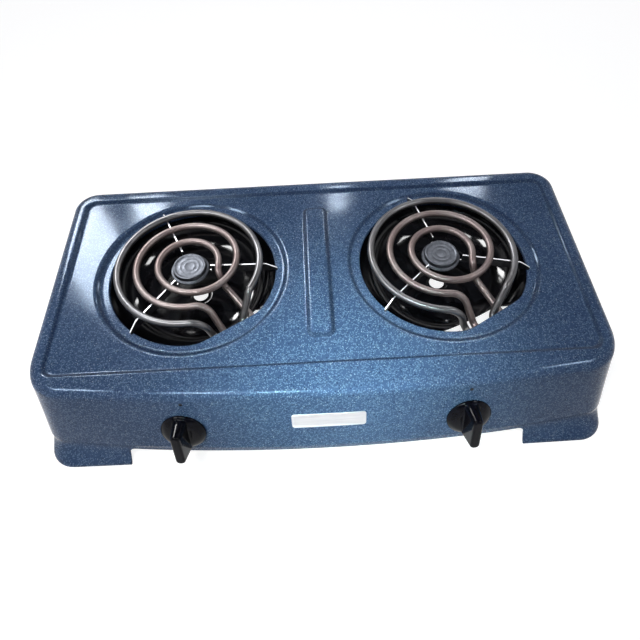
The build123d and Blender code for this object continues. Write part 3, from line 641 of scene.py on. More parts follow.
class FinishSketch(NodeSketch):
    """Short hand for drawing a material about one principled shader."""

    def __init__(self, name: str) -> None:
        """Start the material.

        Args:
            name: Name of the material.
        """
        self.material = bpy.data.materials.new(name)
        self.material.use_nodes = True
        super().__init__(self.material.node_tree)
        self.shader = self.nodes["Principled BSDF"]
        places = self.nodes.new("ShaderNodeTexCoord").outputs
        self.place, self.normal = places["Object"], places["Normal"]

    def set(self, **values: float | tuple[float, ...]) -> None:
        """Set sockets of the shader that are the same all over.

        Args:
            values: Value of each socket, by its name with underscores.
        """
        for name, value in values.items():
            words = name.replace("_", " ").title().replace("Ior", "IOR")
            self.shader.inputs[words].default_value = value

    def put(self, socket: Socket, name: str) -> None:
        """Link a socket to an input of the shader."""
        self.links.new(socket, self.shader.inputs[name])

    def attribute(self, name: str) -> Socket:
        """Read a value that the mesh keeps.

        Args:
            name: Name of the value.

        Returns:
            The value.
        """
        node = self.nodes.new("ShaderNodeAttribute")
        node.attribute_name = name
        return node.outputs["Fac"]

    def noise(self, scale: float, detail: float = 3.0, place: Socket | None = None) -> Socket:
        """Draw a noise.

        Args:
            scale: Its scale per metre.
            detail: Number of finer layers.
            place: Where it is read, by the object's own place where it is left out.

        Returns:
            Its value.
        """
        node = self.nodes.new("ShaderNodeTexNoise")
        node.inputs["Scale"].default_value = scale
        node.inputs["Detail"].default_value = detail
        self.links.new(place or self.place, node.inputs["Vector"])
        return node.outputs["Fac"]

    def spread(self, noise: Socket, low: float = 0.0, high: float = 1.0) -> Socket:
        """Spread the usual values of a noise over a range."""
        return self.ramp(noise, *NOISE_BODY, low, high)

    def roughness(self, scale: float, span: Range) -> None:
        """Let the roughness wander over a range, in patches of a scale per metre."""
        self.put(self.spread(self.noise(scale), *span), "Roughness")

    def dots(self, scale: float, share: float, fade: float, core: float, size: float) -> Socket:
        """Draw round dots in some of the cells of a pattern.

        Args:
            scale: Cells per metre.
            share: Share of the cells that have a dot.
            fade: How much of that share has only a faint dot.
            core: Radius of a dot's full part, as a share of a cell.
            size: Radius at which a dot ends, as a share of a cell.

        Returns:
            One in a dot and zero between dots.
        """
        node = self.nodes.new("ShaderNodeTexVoronoi")
        node.inputs["Scale"].default_value = scale
        self.links.new(self.place, node.inputs["Vector"])
        parts = self.nodes.new("ShaderNodeSeparateColor")
        self.links.new(node.outputs["Color"], parts.inputs[0])
        chosen = self.ramp(parts.outputs["Red"], 1.0 - share, 1.0 - share + fade)
        return self.math("MULTIPLY", chosen, self.ramp(node.outputs["Distance"], core, size, 1.0, 0.0))

    def bump(self, height: Socket, depth: float, strength: float) -> None:
        """Give the surface a relief.

        Args:
            height: Height of the relief, from 0 to 1.
            depth: Its depth in millimetres.
            strength: Share of it that shows.
        """
        node = self.nodes.new("ShaderNodeBump")
        node.inputs["Strength"].default_value = strength
        node.inputs["Distance"].default_value = depth * MM
        self.links.new(height, node.inputs["Height"])
        self.put(node.outputs["Normal"], "Normal")


@dataclass(frozen=True)
class Gloss:
    """Gloss of fired enamel: its roughness, its slow waves and its shine."""

    patches_per_metre: float
    rough: Range
    waves_per_metre: float
    wave_depth: float
    wave_strength: float
    shine: float

    def draw(self, sketch: FinishSketch) -> None:
        """Add the gloss to a material.

        Args:
            sketch: The material.
        """
        sketch.roughness(self.patches_per_metre, self.rough)
        sketch.bump(sketch.noise(self.waves_per_metre, detail=1.0), self.wave_depth, self.wave_strength)
        sketch.set(specular_ior_level=self.shine)


@dataclass(frozen=True)
class Grain:
    """One kind of grain in the enamel."""

    per_metre: float
    share: float
    size: float
    colour: Colour
    fade: float = 0.08
    core: float = 0.55


@dataclass(frozen=True)
class SpeckledEnamel:
    """Glossy blue enamel with fine pale and dark grains, and painted shade where the steps inside the rim
    lean.
    """

    ground: Colour = (0.057, 0.100, 0.198)
    cloud: Colour = (0.071, 0.119, 0.230)
    clouds_per_metre: float = 9.0
    cloud_body: Range = (0.35, 0.7)
    grains: tuple[Grain, ...] = (
        Grain(520.0, 0.25, 0.50, (0.034, 0.058, 0.128)),
        Grain(760.0, 0.62, 0.58, (0.172, 0.263, 0.412)),
        Grain(580.0, 0.16, 0.30, (0.48, 0.60, 0.72)),
    )
    # Painted shade: leaning steps inside the rim are darkened towards this colour, standing in for their
    # shade and dark reflections.
    drawn: Colour = (0.016, 0.028, 0.060)
    painted_shade_lean: Range = (0.02, 0.16)
    painted_shade_share: float = 0.58
    reflection: Colour = (0.55, 0.75, 1.0)
    gloss: Gloss = Gloss(35.0, (0.09, 0.14), 90.0, 0.05, 0.5, 0.16)

    def material(self) -> Material:
        """Draw the nodes.

        Returns:
            The material.
        """
        g = FinishSketch("speckled_blue_enamel")
        clouds = g.ramp(g.noise(self.clouds_per_metre), *self.cloud_body)
        colour = g.mix(clouds, self.ground, self.cloud)
        for grain in self.grains:
            dots = g.dots(grain.per_metre, grain.share, grain.fade, grain.size * grain.core, grain.size)
            colour = g.mix(dots, colour, grain.colour)
        # Painted shade: the lean of the steps darkens the colour.
        lean = g.ramp(g.attribute(PAINTED_SHADE_LEAN), *self.painted_shade_lean, 0.0, self.painted_shade_share)
        g.put(g.mix(lean, colour, self.drawn), "Base Color")
        self.gloss.draw(g)
        g.set(specular_tint=(*self.reflection, 1.0))
        return g.material


@dataclass(frozen=True)
class BowlEnamel:
    """Glossy black enamel with a faint mottle."""

    ground: Colour = (0.003, 0.003, 0.004)
    mottle: Colour = (0.007, 0.007, 0.009)
    mottles_per_metre: float = 120.0
    mottle_body: Range = (0.4, 0.65)
    gloss: Gloss = Gloss(45.0, (0.06, 0.12), 70.0, 0.06, 0.6, 0.26)

    def material(self) -> Material:
        """Draw the nodes.

        Returns:
            The material.
        """
        g = FinishSketch("black_bowl_enamel")
        mottles = g.ramp(g.noise(self.mottles_per_metre), *self.mottle_body)
        g.put(g.mix(mottles, self.ground, self.mottle), "Base Color")
        self.gloss.draw(g)
        return g.material


@dataclass(frozen=True)
class HeatedSheath:
    """Satin metal of a heating tube, coloured by heat in bands along its length."""

    name: str
    cool: Colour
    warm: Colour
    stain: Colour
    rough: Range
    bands_per_metre: float = 14.0
    band_body: Range = (0.38, 0.62)
    stains_per_metre: float = 60.0
    stain_body: Range = (0.5, 0.75)
    patches_per_metre: float = 220.0
    scale_per_metre: float = 900.0
    scale_depth: float = 0.02
    scale_strength: float = 0.4
    metal: float = 0.92

    def material(self) -> Material:
        """Draw the nodes.

        Returns:
            The material.
        """
        g = FinishSketch(self.name)
        line = g.nodes.new("ShaderNodeCombineXYZ")
        g.links.new(g.attribute(ALONG), line.inputs[0])
        bands = g.ramp(g.noise(self.bands_per_metre, detail=2.0, place=line.outputs[0]), *self.band_body)
        stains = g.ramp(g.noise(self.stains_per_metre), *self.stain_body)
        g.put(g.mix(stains, g.mix(bands, self.warm, self.cool), self.stain), "Base Color")
        g.roughness(self.patches_per_metre, self.rough)
        g.bump(g.noise(self.scale_per_metre, detail=2.0), self.scale_depth, self.scale_strength)
        g.set(metallic=self.metal)
        return g.material


@dataclass(frozen=True)
class WorkedMetal:
    """Metal with a drawn or polished surface."""

    name: str
    light: Colour
    dark: Colour
    rough: Range
    streaks_per_metre: Place = (40.0, 40.0, 900.0)
    streak_depth: float = 0.01
    streak_strength: float = 0.3
    patches_per_metre: float = 160.0

    def material(self) -> Material:
        """Draw the nodes.

        Returns:
            The material.
        """
        g = FinishSketch(self.name)
        mapping = g.nodes.new("ShaderNodeMapping")
        mapping.inputs["Scale"].default_value = self.streaks_per_metre
        g.links.new(g.place, mapping.inputs["Vector"])
        streak = g.noise(1.0, detail=4.0, place=mapping.outputs["Vector"])
        g.put(g.mix(g.spread(streak), self.dark, self.light), "Base Color")
        g.roughness(self.patches_per_metre, self.rough)
        g.bump(streak, self.streak_depth, self.streak_strength)
        g.set(metallic=1.0)
        return g.material


@dataclass(frozen=True)
class StripSteelPaintedTopLight:
    """Strip steel, dark on its faces, with a painted highlight on the faces that look upwards."""

    face: Colour = (0.045, 0.045, 0.050)
    dull: Colour = (0.020, 0.020, 0.023)
    # Painted highlight: faces that look upwards are made this pale colour.
    edge: Colour = (0.90, 0.90, 0.93)
    top_light_lean: Range = (0.45, 0.75)
    stains_per_metre: float = 240.0
    patches_per_metre: float = 160.0
    rough: Range = (0.40, 0.50)
    metal: float = 0.9

    def material(self) -> Material:
        """Draw the nodes.

        Returns:
            The material.
        """
        g = FinishSketch("strip_steel_painted_top_light")
        # Painted highlight: the more a face looks upwards, the paler it is painted.
        top_light = g.ramp(g.upward(g.normal), *self.top_light_lean)
        face = g.mix(g.spread(g.noise(self.stains_per_metre)), self.dull, self.face)
        g.put(g.mix(top_light, face, self.edge), "Base Color")
        g.roughness(self.patches_per_metre, self.rough)
        g.set(metallic=self.metal)
        return g.material


@dataclass(frozen=True)
class Moulding:
    """Moulded, rubbery or fired surface without metal in it."""

    name: str
    light: Colour
    dark: Colour
    rough: Range
    grain_per_metre: float = 500.0
    relief: float = 0.03
    relief_strength: float = 0.4
    patches_per_metre: float = 60.0
    shine: float = 0.4

    def material(self) -> Material:
        """Draw the nodes.

        Returns:
            The material.
        """
        g = FinishSketch(self.name)
        grain = g.noise(self.grain_per_metre)
        g.put(g.mix(g.spread(grain), self.dark, self.light), "Base Color")
        g.roughness(self.patches_per_metre, self.rough)
        g.bump(grain, self.relief, self.relief_strength)
        g.set(specular_ior_level=self.shine)
        return g.material


class Finishes:
    """One material for each slot of the record, and for the trim."""

    def __init__(self) -> None:
        """Make every material once."""
        recipes = {
            "blue_enamel": SpeckledEnamel(),
            "black_enamel": BowlEnamel(),
            "coil_sheath": HeatedSheath("browned_tube_sheath", (0.205, 0.177, 0.172), (0.152, 0.118, 0.113),
                                        (0.138, 0.104, 0.107), (0.40, 0.52)),
            "grey_sheath": HeatedSheath("greyed_tube_sheath", (0.148, 0.148, 0.155), (0.113, 0.110, 0.112),
                                        (0.095, 0.092, 0.098), (0.30, 0.42)),
            "bright_steel": StripSteelPaintedTopLight(),
            "hub_chrome": WorkedMetal("pressed_hub_chrome", (0.110, 0.118, 0.135), (0.070, 0.075, 0.088),
                                      (0.40, 0.50), (300.0, 300.0, 300.0)),
            "plated_steel": WorkedMetal("zinc_plated_steel", (0.56, 0.56, 0.55), (0.40, 0.40, 0.39),
                                        (0.28, 0.45)),
            "black_knob": Moulding("gloss_black_knob", (0.004, 0.004, 0.008), (0.002, 0.002, 0.004),
                                   (0.07, 0.12), shine=0.10),
            "switch_case": Moulding("dark_switch_case", (0.070, 0.050, 0.038), (0.045, 0.032, 0.025),
                                    (0.45, 0.60)),
            "terminal_brass": WorkedMetal("terminal_brass", (0.68, 0.52, 0.25), (0.50, 0.36, 0.16),
                                          (0.25, 0.42)),
            "lead_sleeve": Moulding("woven_lead_sleeve", (0.50, 0.46, 0.38), (0.32, 0.29, 0.24),
                                    (0.70, 0.85), grain_per_metre=1600.0, relief=0.15),
            "white_ceramic": Moulding("fired_white_ceramic", (0.82, 0.80, 0.74), (0.70, 0.67, 0.60),
                                      (0.40, 0.60)),
            "black_rubber": Moulding("black_grommet_rubber", (0.022, 0.022, 0.022), (0.012, 0.012, 0.012),
                                     (0.55, 0.75)),
            "plate": WorkedMetal("pale_blank_plate", (0.80, 0.81, 0.83), (0.70, 0.71, 0.73), (0.30, 0.42),
                                 (30.0, 900.0, 900.0)),
            "mark": Moulding("dark_fired_mark", (0.010, 0.012, 0.020), (0.006, 0.007, 0.012), (0.20, 0.30)),
        }
        self.made = {slot: recipe.material() for slot, recipe in recipes.items()}

    def dress(self, obj: Piece, slot: str) -> Piece:
        """Give a piece the material of a slot.

        Args:
            obj: The piece.
            slot: Name of the slot.

        Returns:
            The same piece.
        """
        obj.data.materials.clear()
        obj.data.materials.append(self.made[slot])
        return obj

    def dress_cad_nodes(self, record: dict, nodes: dict[str, Piece]) -> None:
        """Give every node of the frame the material of its slot."""
        for part in record["subparts"]:
            self.dress(nodes[part["node"]], part["material_slot"])


def finish_piece(obj: Piece, body: str, slot: str, *nodes: str) -> None:
    """Hang a finished piece on its body and report it.

    Args:
        obj: The piece.
        body: Body that it rides on.
        slot: Material slot of the record; not used.
        nodes: Nodes that it stands for.
    """
    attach(obj, body)
    if nodes:
        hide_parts(*nodes)
    log.info("%s on %s, %d faces", obj.name, body, len(obj.data.polygons))


# Enamelled body

@dataclass(frozen=True)
class Outline:
    """Plan outline with straight back and sides, a bowed front and rounded corners."""

    half_width: float
    back_y: float
    front_y: float
    bow: float
    front_corner: float
    back_corner: float
    run_points: ClassVar[int] = 60
    corner_points: ClassVar[int] = 24

    def mixed(self, other: "Outline", share: float) -> "Outline":
        """Outline a share of the way to another."""
        pairs = zip(astuple(self), astuple(other))
        return Outline(*(between(share, here, there) for here, there in pairs))

    def front(self, x: float) -> float:
        """Y of the bowed front at an x, without its corners."""
        radius = (self.half_width ** 2 + self.bow ** 2) / (2 * self.bow)
        return self.front_y + radius - math.sqrt(radius ** 2 - x ** 2)

    def corner(self, start: Vector, end: Vector, count: int) -> list[Vector]:
        """Run round one of the right corners.

        Args:
            start: Last point of the front or the back.
            end: First point of the side.
            count: Number of points, both ends included.

        Returns:
            Evenly spaced points from the start to the end.
        """
        if start.y < 0:
            radius = self.front_corner
            middle = Vector((self.half_width, self.front(self.half_width), 0.0))
            xs = [between(t, start.x, self.half_width) for t in steps(self.run_points)]
            run = [Vector((x, self.front(x), 0.0)) for x in xs]
        else:
            radius = self.back_corner
            middle = Vector((self.half_width, self.back_y, 0.0))
            run = [start, middle]
        arc = rounded_corner(run[-2], middle, end, radius, self.corner_points)
        line = [p for p in run if p.x < arc[0].x - NEARLY] + arc + [end]
        return resample(line, count)

    def loop(self, xs: Sequence[float], ys: Sequence[float], corner_count: int) -> list[Vector]:
        """Closed row of points, the same in number for every outline.

        Args:
            xs: Rising x values on the front and the back.
            ys: Rising y values on the sides.
            corner_count: Points in each corner between them.

        Returns:
            Points anticlockwise from the front's left end.
        """
        front = [Vector((x, self.front(x), 0.0)) for x in xs]
        right = [Vector((self.half_width, y, 0.0)) for y in ys]
        back = [Vector((x, self.back_y, 0.0)) for x in reversed(xs)]
        front_corner = self.corner(front[-1], right[0], corner_count + 2)[1:-1]
        back_corner = self.corner(back[0], right[-1], corner_count + 2)[1:-1]
        flip = Vector((-1.0, 1.0, 1.0))
        left = [p * flip for p in reversed(right)]
        return (front + front_corner + right + list(reversed(back_corner)) + back
                + [p * flip for p in back_corner] + left + [p * flip for p in reversed(front_corner)])


@dataclass(frozen=True)
class RoundedBlock:
    """Rounded rectangle in plan."""

    half_width: float
    front_y: float
    back_y: float
    corner: float
    least_corner: ClassVar[float] = 0.5

    def loop(self, inset: float, z: float, per_side: int = 18, per_corner: int = 12,
             across: float | None = None) -> list[Vector]:
        """Closed row of points, anticlockwise.

        Args:
            inset: How far the front and the back are moved in.
            z: Height of the row.
            per_side: Points along each side.
            per_corner: Points round each corner.
            across: How far the sides are moved in, as far as the front where it is left out.

        Returns:
            The points of the row.
        """
        across = inset if across is None else across
        radius = max(self.corner - (inset + across) / 2.0, self.least_corner)
        x = self.half_width - across - radius
        low, high = self.front_y + inset + radius, self.back_y - inset - radius
        points = []
        for cx, cy, turn in ((x, low, -90.0), (x, high, 0.0), (-x, high, 90.0), (-x, low, 180.0)):
            centre = Vector((cx, cy, z))
            points += [centre + polar(radius, turn + 90.0 * t) for t in steps(per_corner)]
        full = []
        for k, here in enumerate(points):
            full.append(here)
            if (k + 1) % per_corner == 0:
                after = points[(k + 1) % len(points)]
                full += [here.lerp(after, n / per_side) for n in range(1, per_side)]
        return full


@dataclass(frozen=True)
class BurnerOpening:
    """Stepped ring round a burner, with its lip and the ledge over the hinge."""

    centre_x: float = BURNER_X
    ring_r: float = 101.0
    foot_r: float = 91.0
    flange_z: float = 79.5
    lip_r: float = 85.0
    bend: float = 1.5
    lip_z: float = 75.5
    bare_z: float = 78.2
    least_lip: float = 0.2
    ledge_angle: float = -60.0
    ledge_chord: float = 78.5
    ledge_facing: float = 0.5
    edge_blend: float = 1.2
    relief_half: float = 41.0
    relief_ramp: float = 3.0
    columns: int = 288
    ring_rows: int = 15
    bend_rows: int = 7
    lip_rows: int = 3

    def edge(self, angle: float, grow: float) -> float:
        """Radius of the opening's edge, round but for the straight ledge.

        Args:
            angle: Direction from the opening's middle, in degrees.
            grow: How far the edge is moved out.

        Returns:
            The radius in that direction.
        """
        away = math.cos(math.radians(angle - self.ledge_angle))
        straight = (self.ledge_chord + grow) / away if away > self.ledge_facing else 2.0 * self.lip_r
        low, high = sorted((self.lip_r + grow, straight))
        return low - self.edge_blend * math.log(1.0 + math.exp((low - high) / self.edge_blend))

    def low_z(self, angle: float) -> float:
        """Lower edge of the lip, which stops short beside the hinge."""
        past = (abs(turn_between(self.ledge_angle, angle)) - self.relief_half) / self.relief_ramp
        return between(ease(held(past)), self.bare_z, self.lip_z)

    def rows(self, panel_z: float) -> list[list[Vector]]:
        """Rows of points from the panel down to the lower edge of the lip.

        Args:
            panel_z: Height of the panel.

        Returns:
            The points of each row.
        """
        at = Vector((self.centre_x, 0.0, 0.0))
        angles = round_angles(self.columns)
        run, drop = self.ring_r - self.foot_r, panel_z - self.flange_z
        rows = []
        for t in steps(self.ring_rows):
            radius = between(t, self.ring_r, self.foot_r)
            z = between(two_arcs(t, run, drop), panel_z, self.flange_z)
            rows.append([at + polar(radius, a, z) for a in angles])
        for t in steps(self.bend_rows):
            turn = math.pi / 2 * t
            grow = self.bend * (1.0 - math.sin(turn))
            z = self.flange_z - self.bend * (1.0 - math.cos(turn))
            rows.append([at + polar(self.edge(a, grow), a, z) for a in angles])
        start = self.flange_z - self.bend
        for t in steps(self.lip_rows)[1:]:
            ends = [min(start - self.least_lip, self.low_z(a)) for a in angles]
            rows.append([at + polar(self.edge(a, 0.0), a, between(t, start, end))
                         for a, end in zip(angles, ends)])
        return rows


@dataclass
class EnamelBody:
    """Drawn body: rim, sunken panel, rib, burner rings, sloping walls and flared feet."""

    top: Outline = Outline(272.2, 124.0, -144.5, 15.89, 40.0, 26.0)
    crease: Outline = Outline(274.0, 125.0, -168.5, 21.07, 24.0, 26.0)
    base: Outline = Outline(275.0, 128.0, -171.5, 1.56, 26.0, 26.0)
    rim_z: float = 86.0
    rim_radius: float = 10.0
    rim_land: float = 30.0
    crease_z: float = 20.0
    crease_radius: float = 3.0
    flare_lag: float = 0.12
    sheet: float = 1.2
    flat_weight: int = 90
    panel: RoundedBlock = RoundedBlock(260.5, -116.3, 109.0, 14.5)
    panel_z: float = 83.0
    panel_run: Range = (6.0, 8.4)
    rib: RoundedBlock = RoundedBlock(15.5, -88.5, 83.5, 9.5)
    rib_z: float = 86.6
    rib_run: Range = (8.0, 8.0)
    opening: BurnerOpening = BurnerOpening()
    arch_z: float = 13.5
    arch_corner: float = 6.0
    arch_shares: tuple[float, ...] = (0.0, 0.25, 0.5, 0.75, 0.9, 0.98, 1.0)
    arch_cut: float = 0.03
    front_arch: Range = (-193.0, 193.0)
    side_arch: Range = (-84.0, 62.0)
    end_wall_y: float = 110.0
    side_wall_x: float = 200.0
    front_span: Range = (-226.0, 226.0)
    side_span: Range = (-86.0, 96.0)
    front_columns: int = 73
    side_columns: int = 29
    corner_columns: int = 26
    rim_rows: int = 14
    wall_rows: int = 9
    crease_rows: int = 7
    skirt_rows: int = 11
    skirt_levels: int = 25
    bend_level: int = 6
    step_rows: int = 15
    probe: float = 0.5

    def on_front(self, x: float, z: float) -> Vector:
        """Point of the sloping front's face, without its rounded edges."""
        share = (z - self.crease_z) / (self.rim_z - self.crease_z)
        return Vector((x, self.crease.mixed(self.top, share).front(x), z))

    def front_point(self, x: float, z: float, out: float = 0.0) -> Vector:
        """Point over the sloping front.

        Args:
            x: Place across the front.
            z: Height of the place.
            out: Distance out along the front's normal.

        Returns:
            The point in millimetres.
        """
        across = self.on_front(x + self.probe, z) - self.on_front(x - self.probe, z)
        up = self.on_front(x, z + self.probe) - self.on_front(x, z - self.probe)
        return self.on_front(x, z) + across.cross(up).normalized() * out

    def arch_edges(self, low: float, high: float) -> list[float]:
        """Places near the two ends of an arch, where its outline turns down.

        Args:
            low: Lower end of the arch.
            high: Upper end of the arch.

        Returns:
            The places along the wall.
        """
        turn = [self.arch_corner * (1.0 - t) for t in self.arch_shares]
        ends = [low - self.arch_cut, high + self.arch_cut]
        return [low + d for d in turn] + [high - d for d in turn] + ends

    def arch_low(self, place: float, low: float, high: float) -> float:
        """Lower edge of the skirt on a wall with an arch.

        Args:
            place: Place along the wall.
            low: Lower end of the arch.
            high: Upper end of the arch.

        Returns:
            The height of the edge.
        """
        inside = min(place - low, high - place)
        if inside < 0.0:
            return 0.0
        if inside > self.arch_corner:
            return self.arch_z
        rise = math.sqrt(self.arch_corner ** 2 - (self.arch_corner - inside) ** 2)
        return self.arch_z - self.arch_corner + rise

    def columns(self) -> tuple[list[float], list[float]]:
        """Places of the wall's columns.

        Returns:
            Rising places along the front and along the sides.
        """
        xs = [between(t, *self.front_span) for t in steps(self.front_columns)]
        ys = [between(t, *self.side_span) for t in steps(self.side_columns)]
        return sorted(xs + self.arch_edges(*self.front_arch)), sorted(ys + self.arch_edges(*self.side_arch))

    def skirt_share(self, z: float) -> float:
        """How far the skirt has flared towards the base at a height."""
        down = (self.crease_z - z) / self.crease_z
        return down * ((1.0 + self.flare_lag) * down - self.flare_lag)

    def skirt_column(self, skirt: Sequence[Sequence[Vector]], levels: Sequence[float], k: int,
                     start_z: float) -> list[Vector]:
        """Points of one column of the skirt, from under the crease to the foot or the arch.

        Args:
            skirt: Plan points of the skirt at each level.
            levels: Height of each level, from the crease down.
            k: Number of the column.
            start_z: Height at which the crease's bend ends.

        Returns:
            The points below that height.
        """
        here = skirt[0][k]
        low_z = 0.0
        if abs(here.y) > self.end_wall_y:
            low_z = self.arch_low(here.x, *self.front_arch)
        elif abs(here.x) > self.side_wall_x:
            low_z = self.arch_low(here.y, *self.side_arch)
        points = []
        for t in steps(self.skirt_rows)[1:]:
            z = between(t, start_z, low_z)
            n = min(int((self.crease_z - z) / self.crease_z * (len(levels) - 1)), len(levels) - 2)
            share = (levels[n] - z) / (levels[n] - levels[n + 1])
            flat = skirt[n][k].lerp(skirt[n + 1][k], share)
            points.append(Vector((flat.x, flat.y, z)))
        return points

    def walls(self, draft: MeshDraft) -> list[Loop]:
        """Rows from the rim over its rounded edge and down the walls to the feet.

        Args:
            draft: Draft that gets the points.

        Returns:
            The rows, from the rim down.
        """
        xs, ys = self.columns()
        levels = [self.crease_z * (1.0 - t) for t in steps(self.skirt_levels)]
        flares = [self.crease.mixed(self.base, self.skirt_share(z)) for z in levels]
        outlines = (self.top, self.crease, *flares)
        top, crease, *skirt = [outline.loop(xs, ys, self.corner_columns) for outline in outlines]
        count = len(top)
        columns = []
        for k in range(count):
            rim = top[k] + Vector((0.0, 0.0, self.rim_z))
            fold = crease[k] + Vector((0.0, 0.0, self.crease_z))
            along = top[(k + 1) % count] - top[k - 1]
            land = rim + Vector((-along.y, along.x, 0.0)).normalized() * self.rim_land
            below = skirt[self.bend_level][k] + Vector((0.0, 0.0, levels[self.bend_level]))
            edge = rounded_corner(land, rim, fold, self.rim_radius, self.rim_rows)
            bend = rounded_corner(rim, fold, below, self.crease_radius, self.crease_rows)
            face = [edge[-1].lerp(bend[0], t) for t in steps(self.wall_rows)[1:-1]]
            columns.append(edge + face + bend + self.skirt_column(skirt, levels, k, bend[-1].z))
        return [draft.loop(row) for row in zip(*columns)]

    def step(self, draft: MeshDraft, block: RoundedBlock, run: Range, from_z: float,
             to_z: float) -> list[Loop]:
        """Draw a smooth step inwards from a block's outline.

        Args:
            draft: Draft that gets the step.
            block: Outline at the start of the step.
            run: Level length of the step at the front and at the sides.
            from_z: Height at the outline.
            to_z: Height at the step's inner end.

        Returns:
            The rows, from the outline inwards.
        """
        front, side = run
        rows = []
        for t in steps(self.step_rows):
            z = between(two_arcs(t, side, abs(to_z - from_z)), from_z, to_z)
            rows.append(draft.loop(block.loop(front * t, z, across=side * t)))
        draft.bridges(rows)
        return rows

    def build(self) -> Piece:
        """Draw the whole body as one sheet and give it its thickness.

        Returns:
            The body.
        """
        draft = MeshDraft()
        walls = self.walls(draft)
        draft.bridges(walls)
        panel = self.step(draft, self.panel, self.panel_run, self.rim_z, self.panel_z)
        draft.fill(walls[0], [panel[0]])
        rib = self.step(draft, self.rib, self.rib_run, self.panel_z, self.rib_z)
        draft.fill(rib[-1])
        rings = []
        for side in Side:
            opening = replace(self.opening, centre_x=side.sign * self.opening.centre_x)
            rows = [draft.loop(row) for row in opening.rows(self.panel_z)]
            draft.bridges(rows)
            rings.append(rows[0])
        draft.fill(panel[-1], [rib[0], *rings])
        obj = draft.to_object("enamel_body")
        face_up(obj)
        thicken(obj, self.sheet, -1.0)
        self.weigh_normals(obj)
        apply_modifiers(obj)
        for corner in obj.data.vertices:
            corner.co.z = max(corner.co.z, 0.0)
        self.mark_painted_shade(obj)
        return obj

    def weigh_normals(self, obj: Piece) -> None:
        """Let large level faces keep their shading beside narrow bends.

        Args:
            obj: The body.
        """
        weighted = obj.modifiers.new("shading", "WEIGHTED_NORMAL")
        weighted.keep_sharp = True
        weighted.weight = self.flat_weight

    def mark_painted_shade(self, obj: Piece) -> None:
        """Keep on each vertex how far the sheet leans in the steps inside the rim, for the enamel's painted
        shade.

        Args:
            obj: The body.
        """
        low = to_frame(Vector((-self.panel.half_width, self.panel.front_y, 0.0)))
        high = to_frame(Vector((self.panel.half_width, self.panel.back_y, 0.0)))
        lean = obj.data.attributes.new(PAINTED_SHADE_LEAN, "FLOAT", "POINT")
        for corner in obj.data.vertices:
            inside = low.x < corner.co.x < high.x and low.y < corner.co.y < high.y
            lean.data[corner.index].value = 1.0 - abs(corner.normal.z) if inside else 0.0

    def dress(self, finishes: Finishes) -> None:
        """Build the body in its enamel."""
        body = finishes.dress(self.build(), "blue_enamel")
        finish_piece(body, "base", "blue_enamel", "top_shell")


# Reflector bowls

@dataclass
class ReflectorBowl:
    """Black bowl under a burner, open at its middle and where the legs pass."""

    side: Side
    cut_angle: float
    flange_r: float = 94.5
    mouth_r: float = 88.0
    flange_z: float = 77.9
    bottom_r: float = 44.0
    bottom_z: float = 42.4
    hole_r: float = 8.0
    wall_sag: Range = (0.62, 0.26)
    sheet: float = 0.8
    cut_from: float = 58.0
    cut_half: float = 34.0
    cut_edge: float = 0.02
    columns: int = 180
    floor_rows: int = 8
    wall_rows: int = 28
    flange_rows: int = 6

    def section(self) -> Section:
        """Half section of the bowl.

        Returns:
            Radii and heights from the centre hole to the flange.
        """
        start = Vector((self.bottom_r, self.bottom_z))
        end = Vector((self.mouth_r, self.flange_z))
        out, up = self.wall_sag
        sag = Vector((between(out, start.x, end.x), between(up, start.y, end.y)))
        wall = [tuple(p) for p in arc_through(start, sag, end, self.wall_rows)]
        floor_radii = [between(t, self.hole_r, self.bottom_r) for t in steps(self.floor_rows)[:-1]]
        flange_radii = [between(t, self.mouth_r, self.flange_r) for t in steps(self.flange_rows)[1:]]
        floor = [(r, self.bottom_z) for r in floor_radii]
        return floor + wall + [(r, self.flange_z) for r in flange_radii]

    def reach(self, angle: float) -> float:
        """Outer radius, shorter where the bowl is cut away for the legs.

        Args:
            angle: Direction from the bowl's middle, in degrees.

        Returns:
            The radius in that direction.
        """
        off = math.radians(turn_between(self.cut_angle, angle))
        if abs(off) < math.atan2(self.cut_half, self.cut_from):
            return self.cut_from / math.cos(off)
        return self.flange_r

    def build(self) -> Piece:
        """Draw the bowl as one sheet and give it its thickness.

        Returns:
            The bowl.
        """
        half = math.degrees(math.atan2(self.cut_half, self.cut_from))
        offs = (half - self.cut_edge, half + self.cut_edge)
        cuts = [self.cut_angle + side * off for side in (-1.0, 1.0) for off in offs]
        angles = sorted(a % 360.0 for a in round_angles(self.columns) + cuts)
        section = self.section()
        draft = MeshDraft()
        rows = []
        for full, _ in section:
            radii = [min(full, self.reach(a)) for a in angles]
            rows.append(draft.loop(polar(r, a, height_at(section, r)) for r, a in zip(radii, angles)))
        draft.bridges(rows)
        place = Matrix.Translation((self.side.sign * BURNER_X, 0.0, 0.0))
        obj = draft.to_object(f"{self.side.value}_black_bowl", place)
        face_up(obj)
        thicken(obj, self.sheet, 0.0)
        apply_modifiers(obj)
        return obj

    def dress(self, finishes: Finishes) -> None:
        """Build the bowl in its enamel."""
        bowl = finishes.dress(self.build(), "black_enamel")
        finish_piece(bowl, "base", "black_enamel", f"{self.side.value}_reflector_bowl")


# Heating coils

